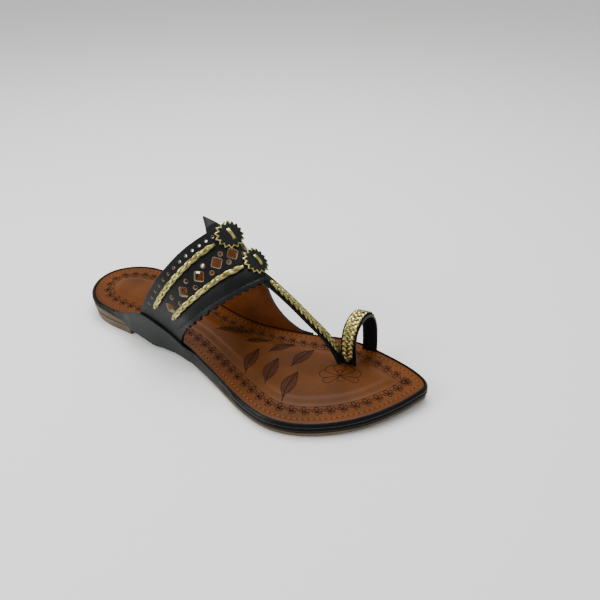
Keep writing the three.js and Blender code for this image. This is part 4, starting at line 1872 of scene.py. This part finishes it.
def rolled_level(along: Vector) -> Vector:
    """Width of the T-strap: level, then rolled so that its face turns to the little-toe side."""
    return Matrix.Rotation(T_ROLL, 3, along) @ Vector((-along.y, along.x, 0.0)).normalized()


def along_ring(along: Vector) -> Vector:
    """Width of the toe ring: along the toe, square to the ring's run."""
    return (RING_ALONG - along * RING_ALONG.dot(along)).normalized()


T_STRAP = StrapPath((
    (147, 3.6, 67.6),
    (154, 4.6, 63.4),
    (165.4, 8.5, 52.6),
    (177, 12.7, 40),
    (187, 16.2, 29),
    (193.4, 18.2, 19),
    (196.4, 19.2, 12.5),
    (199.5, 20.2, 6),
), rolled_level)
TOE_RING = StrapPath((
    (202, 21, 6),
    (201.5, 20, 18),
    (200.9, 20.2, 30),
    (200.7, 23.6, 38),
    (200.9, 31.5, 41.6),
    (201.6, 39.4, 38),
    (203, 42.8, 30),
    (204.4, 43, 18),
    (205.4, 42, 6),
), along_ring)


@dataclass
class Straps:
    """Black leather straps of the T and the toe ring."""

    t_width: float = 6.0
    t_thickness: float = 2.2
    t_squareness: float = 0.3
    ring_width: float = 9.6
    ring_thickness: float = 2.0
    ring_squareness: float = 0.22
    steps: int = 90
    sides: int = 24

    def build(self, finishes: Finishes) -> None:
        """Make both straps.

        Args:
            finishes: the shoe's finishes.
        """
        for name, path, width, thickness, square in (
                ("t_strap", T_STRAP, self.t_width, self.t_thickness, self.t_squareness),
                ("toe_ring", TOE_RING, self.ring_width, self.ring_thickness, self.ring_squareness)):
            bm = bmesh.new()
            add_tube(bm, path.stations(0, 1, self.steps), width, thickness, square, self.sides)
            weld(bm)
            seat(make_piece(name, bm, [finishes.black]), "black_leather", "upper")


# Upper edge of each side cover, as places along the foot and heights
COVER_TOPS = {
    Side.LATERAL: (
        (36, 14.6), (52, 19.5), (66, 26.5), (76, 28), (90, 21.5), (104, 14), (120, 10.2), (146, 7.6)),
    Side.MEDIAL: (
        (36, 14.6), (54, 20), (68, 25), (80, 25), (100, 19), (125, 12.6), (148, 9), (165, 7.6)),
}

# Stretch along the foot where the band comes down
BAND_FEET = {Side.LATERAL: (60.0, 105.0), Side.MEDIAL: (60.0, 170.0)}


@dataclass
class SideCover:
    """Leather over the side of the waist, up to where the band comes down."""

    side: Side
    thickness: float = 1.1
    round_edge: float = 0.35
    above_outsole: float = 0.4
    end_gap: float = 3.0
    fade: float = 12.0
    off_band: float = 0.45
    end_sink: float = 1.7
    tuck: float = 1.3
    wedge: float = 2.0
    heel_front: float = 56.0
    overhang: float = 3.0
    hangs_over: tuple[float, float] = (60.0, 76.0)
    columns: int = 110
    lanes: int = 18

    @property
    def start(self) -> float:
        """Rear end of the cover."""
        return COVER_TOPS[self.side][0][0]

    @property
    def end(self) -> float:
        """Front end of the cover."""
        return COVER_TOPS[self.side][-1][0]

    @cached_property
    def top_at(self) -> Callable[[float], float]:
        """Height of the upper edge at a place along the foot."""
        return through(COVER_TOPS[self.side])

    def within(self, x: float, start: float, end: float) -> float:
        """Share of a stretch that a place belongs to."""
        return smooth_step(start - self.fade, start, x) * (1 - smooth_step(end, end + self.fade, x))

    def covers(self, x: float) -> float:
        """Share of the rand that lies under the cover."""
        return self.within(x, self.start - self.end_gap, self.end + self.end_gap)

    def corner(self, i: int, j: int) -> Vector:
        """Find a corner of the outer face.

        Args:
            i: column along the foot.
            j: lane up the side.

        Returns:
            The corner's point.
        """
        x = mix(self.start, self.end, i / self.columns)
        low = SOLE.outsole_top(x) + self.above_outsole - self.overhang * self.within(x, *self.hangs_over)
        high = max(self.top_at(x), Rand().top(x))
        low = mix(high - self.wedge, low, smooth_step(self.start, self.heel_front, x))
        z = mix(low, high, j / self.lanes)
        lean = BAND.wall_lean * max(0.0, z - SOLE.footbed_top(x))
        foot = self.within(x, *BAND_FEET[self.side])
        seat_out = mix(Rand().waist_rim, SOLE.gap + BAND.wall, foot) + self.off_band
        seat_out -= self.tuck * (1 - foot) * (j / self.lanes) ** 2
        from_end = min(x - self.start, self.end - x)
        seat_out -= self.end_sink * (1 - smooth_step(0.0, self.fade, from_end))
        y = SOLE.edge_y(x, self.side) + self.side.value * (seat_out + lean + self.thickness)
        return Vector((x, y, z))

    def build(self, finishes: Finishes) -> None:
        """Make the cover.

        Args:
            finishes: the shoe's finishes.
        """
        bm = bmesh.new()
        add_grid(bm, self.columns, self.lanes, self.corner, flip=self.side is Side.MEDIAL)
        name = f"side_cover_{self.side.name.lower()}"
        # The cover's black leather is painted greyer for the light on the side of the waist
        cover = make_piece(name + "_leather", bm, [finishes.painted_lit_black])
        thicken(cover, self.thickness, self.round_edge)
        seat(cover, "black_leather", name)


# Trim
@dataclass
class Plait:
    """Flat plait of foil-coated strips; a strip's width and thickness are shares of the plait's."""

    width: float
    thickness: float
    strands: int = 3
    period: float = 21.0
    strand_share: float = 0.54
    strip_share: float = 0.38
    squareness: float = 0.75
    taper: float = 5.0
    step: float = 0.45
    sides: int = 8
    pattern_shift: float = 100.0
    sharp_degrees: float = 60.0

    def strip(self, strand: int, stations: Sequence[Station]) -> list[Station]:
        """Lead one strip from side to side, over and under the others.

        Args:
            strand: the strip's number.
            stations: places along the plait's middle.

        Returns:
            Places along the strip's middle.
        """
        swing = (1 - self.strand_share) * self.width / 2
        hop = (1 - self.strip_share) * self.thickness / 2
        lengths = running_lengths([station.middle for station in stations])
        middles = []
        for station, length in zip(stations, lengths):
            turn = math.tau * (length / self.period + strand / self.strands)
            closed = smooth_step(0.0, self.taper, min(length, lengths[-1] - length))
            side = swing * closed * math.sin(turn)
            middles.append(station.point(side, hop * math.sin((self.strands - 1) * turn)))
        laid = []
        for k, (station, middle) in enumerate(zip(stations, middles)):
            along = (middles[min(k + 1, len(middles) - 1)] - middles[max(k - 1, 0)]).normalized()
            across = station.out.cross(along).normalized()
            laid.append(Station(middle, along, across, along.cross(across)))
        return laid

    def build(self, name: str, stations: Sequence[Station], finishes: Finishes, *nodes: str) -> None:
        """Plait the strips along stations.

        Args:
            name: the piece's name.
            stations: places along the plait's middle.
            finishes: the shoe's finishes.
            *nodes: the solids it stands for.
        """
        bm = bmesh.new()
        for strand in range(self.strands):
            add_tube(bm, self.strip(strand, stations), self.strand_share * self.width,
                     self.strip_share * self.thickness, self.squareness, self.sides,
                     uv_offset=self.pattern_shift * strand)
        weld(bm)
        seat(make_piece(name, bm, [finishes.gold], self.sharp_degrees), "gold_braid", *nodes)


@dataclass
class Trim:
    """Gold plaits on the band, the T-strap and the ring, and the two rosettes."""

    off_band: float = 0.45
    band_plait: Plait = field(default_factory=lambda: Plait(3.8, 1.5))
    t_plait: Plait = field(default_factory=lambda: Plait(4.6, 1.5, period=13.0))
    t_run: tuple[float, float] = (0.0875, 0.828125)
    t_steps: int = 160
    ring_plait: Plait = field(
        default_factory=lambda: Plait(8.0, 1.3, strands=5, period=18.0, strand_share=0.3))
    ring_run: tuple[float, float] = (0.1125, 0.9375)
    ring_steps: int = 180
    to_rosette: float = 0.6
    gold_radius: float = 9.2
    gold_thickness: float = 0.9
    black_radius: float = 8.15
    black_thickness: float = 0.6
    disc_gap: float = 0.15
    disc_round: float = 0.2
    disc_rows: int = 8
    flatness: float = 0.65
    lean: float = 4.0
    teeth: int = 15
    tooth_depth: float = 2.0
    tooth_columns: int = 4
    thong_length: float = 8.0
    thong_width: float = 2.3
    thong_thickness: float = 0.66
    thong_rise: tuple[float, float] = (0.11, 0.825)
    thong_fullness: float = 0.5
    thong_squareness: float = 0.5
    thong_steps: int = 16
    thong_sides: int = 12

    def braid_run(self, name: str, line: BraidLine, start: float, end: float, finishes: Finishes) -> None:
        """Plait one run of a band braid.

        Args:
            name: name of the solid it stands for.
            line: the braid's line on the band.
            start: where it starts over the foot.
            end: where it ends over the foot.
            finishes: the shoe's finishes.
        """
        count = round(abs(end - start) / self.band_plait.step)
        raised = self.off_band + self.band_plait.thickness / 2
        overs = [mix(start, end, k / count) for k in range(count + 1)]
        stations = [BAND.station(over, line.back(over), raised) for over in overs]
        self.band_plait.build(name + "_plait", stations, finishes, name)

    def on_rosette(self, line: BraidLine, ahead: float, aside: float, high: float) -> Vector:
        """Find a point of a rosette, which is stiffer than the band and leans to the little-toe side.

        Args:
            line: the braid's line with the rosette's place.
            ahead: distance from the middle, over the foot.
            aside: distance from the middle, to the front.
            high: height over the band.

        Returns:
            The point there.
        """
        over, back = line.rosette_over, line.rosette_back
        plane = BAND.station(over - self.lean, back)
        flat = BAND.point(over, back, high) + plane.along * ahead - plane.across * aside
        return BAND.point(over + ahead, back + aside, high).lerp(flat, self.flatness)

    def disc(self, name: str, line: BraidLine, radius: float, high: float, thickness: float,
             finish: bpy.types.Material) -> bpy.types.Object:
        """Make one toothed disc that lies on the band.

        Args:
            name: the piece's name.
            line: the braid's line with the rosette's place.
            radius: reach of the teeth.
            high: height of its upper face over the band.
            thickness: leather thickness.
            finish: its material.

        Returns:
            The disc.
        """
        columns = self.tooth_columns * self.teeth

        def corner(i: int, j: int) -> Vector:
            """Find a corner of the disc's upper face.

            Args:
                i: place round the disc.
                j: ring from the middle.

            Returns:
                The corner's point.
            """
            angle = math.tau * i / columns
            tooth = abs(2 * ((i / self.tooth_columns) % 1) - 1)
            reach = j / self.disc_rows * (radius - self.tooth_depth * (1 - tooth))
            return self.on_rosette(line, reach * math.cos(angle), reach * math.sin(angle), high)

        bm = bmesh.new()
        add_grid(bm, columns, self.disc_rows, corner, flip=True, uv_at=lambda i, j: (float(i), STRIP_CROWN))
        bmesh.ops.remove_doubles(bm, verts=bm.verts[:], dist=WELD)
        disc = make_piece(name, bm, [finish])
        thicken(disc, thickness, self.disc_round)
        return disc

    def rosette(self, line: BraidLine, finishes: Finishes) -> None:
        """Make a rosette: gold disc, black disc and a thong through its middle.

        Args:
            line: the braid's line with the rosette's place.
            finishes: the shoe's finishes.
        """
        gold_top = self.off_band + self.gold_thickness
        black_top = gold_top + self.disc_gap + self.black_thickness
        gold = (self.gold_radius, gold_top, self.gold_thickness, finishes.gold)
        black = (self.black_radius, black_top, self.black_thickness, finishes.black)
        for color, sizes, slot in (("gold", gold, "gold_braid"), ("black", black, "black_leather")):
            name = f"rosette_{line.name}_{color}"
            seat(self.disc(name + "_disc", line, *sizes), slot, name)
        plane = BAND.station(line.rosette_over - self.lean, line.rosette_back)
        stations = []
        for k in range(self.thong_steps + 1):
            share = k / self.thong_steps
            arch = self.thong_rise[0] + self.thong_rise[1] * math.sin(math.pi * share) ** self.thong_fullness
            middle = self.on_rosette(line, 0.0, self.thong_length * (share - 0.5), black_top + arch)
            stations.append(Station(middle, -plane.across, -plane.along, plane.out))
        bm = bmesh.new()
        add_tube(bm, stations, self.thong_width, self.thong_thickness, self.thong_squareness,
                 self.thong_sides)
        weld(bm)
        thong = make_piece(f"thong_{line.name}_loop", bm, [finishes.gold])
        seat(thong, "gold_braid", f"thong_{line.name}")

    def build(self, finishes: Finishes) -> None:
        """Make the braids and the rosettes.

        Args:
            finishes: the shoe's finishes.
        """
        reach = self.gold_radius + self.to_rosette
        for line in (REAR_BRAID, FRONT_BRAID):
            braid, middle = f"braid_{line.name}", line.rosette_over
            self.braid_run(f"{braid}_lateral", line, line.lateral_end, middle - reach, finishes)
            self.braid_run(f"{braid}_medial", line, middle + reach, line.medial_end, finishes)
            self.rosette(line, finishes)
        t_lift = (Straps().t_thickness + self.t_plait.thickness) / 2 + self.off_band
        t_stations = T_STRAP.stations(*self.t_run, self.t_steps, t_lift)
        self.t_plait.build("braid_t_strap_plait", t_stations, finishes, "braid_t_strap")
        ring_lift = (Straps().ring_thickness + self.ring_plait.thickness) / 2 + self.off_band
        ring_stations = TOE_RING.stations(*self.ring_run, self.ring_steps, ring_lift)
        self.ring_plait.build("braid_ring_plait", ring_stations, finishes, "braid_ring")


# Stage
def direction(azimuth: float, elevation: float) -> Vector:
    """Direction from the shoe to a place around it, from angles in degrees."""
    a, e = math.radians(azimuth), math.radians(elevation)
    return Vector((math.sin(a) * math.cos(e), -math.cos(a) * math.cos(e), math.sin(e)))


def put_facing(name: str, data: bpy.types.ID, at: Vector, out: Vector) -> bpy.types.Object:
    """Put a camera or a light in the scene.

    Args:
        name: the object's name.
        data: the camera or light.
        at: where it goes, in metres.
        out: direction that it looks against.

    Returns:
        The object.
    """
    holder = bpy.data.objects.new(name, data)
    holder.location = at
    holder.rotation_euler = (-out).to_track_quat("-Z", "Y").to_euler()
    bpy.context.scene.collection.objects.link(holder)
    return holder


@dataclass(frozen=True)
class SoftBox:
    """Square soft light that faces the shoe; angles in degrees, lengths in metres, power in watts."""

    name: str
    azimuth: float
    elevation: float
    distance: float
    size: float
    power: float

    def hang(self) -> None:
        """Hang the light."""
        data = bpy.data.lights.new(self.name, "AREA")
        data.size = self.size
        data.energy = self.power
        out = direction(self.azimuth, self.elevation)
        put_facing(self.name, data, out * self.distance, out)


@dataclass
class Studio:
    """Camera, pale floor and soft lights."""

    target: Spot = (144.03, 50.36, 20.0)
    azimuth: float = 34.18
    elevation: float = 35.54
    distance: float = 402.6
    focal_pixels: float = 568.9
    image_pixels: float = 600.0
    sensor: float = 36.0
    nearest_metres: float = 0.01
    floor_color: str = "#fbfbfa"
    floor_roughness: float = 0.9
    floor_half_metres: float = 6.0
    floor_cells: int = 8
    sky_strength: float = 0.65
    lights: Sequence[SoftBox] = (
        SoftBox("overhead", 214.0, 78.0, 0.9, 0.6, 8.0),
        SoftBox("front", -35.0, 36.0, 1.0, 0.5, 4.5),
    )

    def camera(self) -> None:
        """Set up the camera."""
        data = bpy.data.cameras.new("camera")
        data.sensor_width = self.sensor
        data.lens = self.focal_pixels / self.image_pixels * self.sensor
        data.clip_start = self.nearest_metres
        out = direction(self.azimuth, self.elevation)
        at = placed(Vector(self.target) + out * self.distance)
        bpy.context.scene.camera = put_facing("camera", data, at, out)

    def floor(self) -> None:
        """Lay a wide pale floor."""
        bm = bmesh.new()
        cells = self.floor_cells
        bmesh.ops.create_grid(bm, x_segments=cells, y_segments=cells, size=self.floor_half_metres)
        paint = Surface("pale_floor").finish({
            "Base Color": linear(self.floor_color), "Roughness": self.floor_roughness})
        make_piece("floor", bm, [paint])

    def build(self) -> None:
        """Set up the studio."""
        self.camera()
        self.floor()
        world = bpy.data.worlds.new("studio")
        world.use_nodes = True
        sky = world.node_tree.nodes["Background"]
        sky.inputs["Color"].default_value = (1.0, 1.0, 1.0, 1.0)
        sky.inputs["Strength"].default_value = self.sky_strength
        bpy.context.scene.world = world
        for light in self.lights:
            light.hang()


def main() -> None:
    """Build the shoe and its stage."""
    logging.basicConfig(level=logging.INFO)
    Studio().build()
    finishes = Finishes()
    Outsole().build(finishes)
    HeelBlock().build(finishes)
    Rand().build(finishes)
    Footbed().build(finishes)
    Ornament().build(finishes)
    InstepBand().build(finishes)
    RearTab().build(finishes)
    Straps().build(finishes)
    for side in Side:
        SideCover(side).build(finishes)
    Trim().build(finishes)


if __name__ == "__main__":
    main()
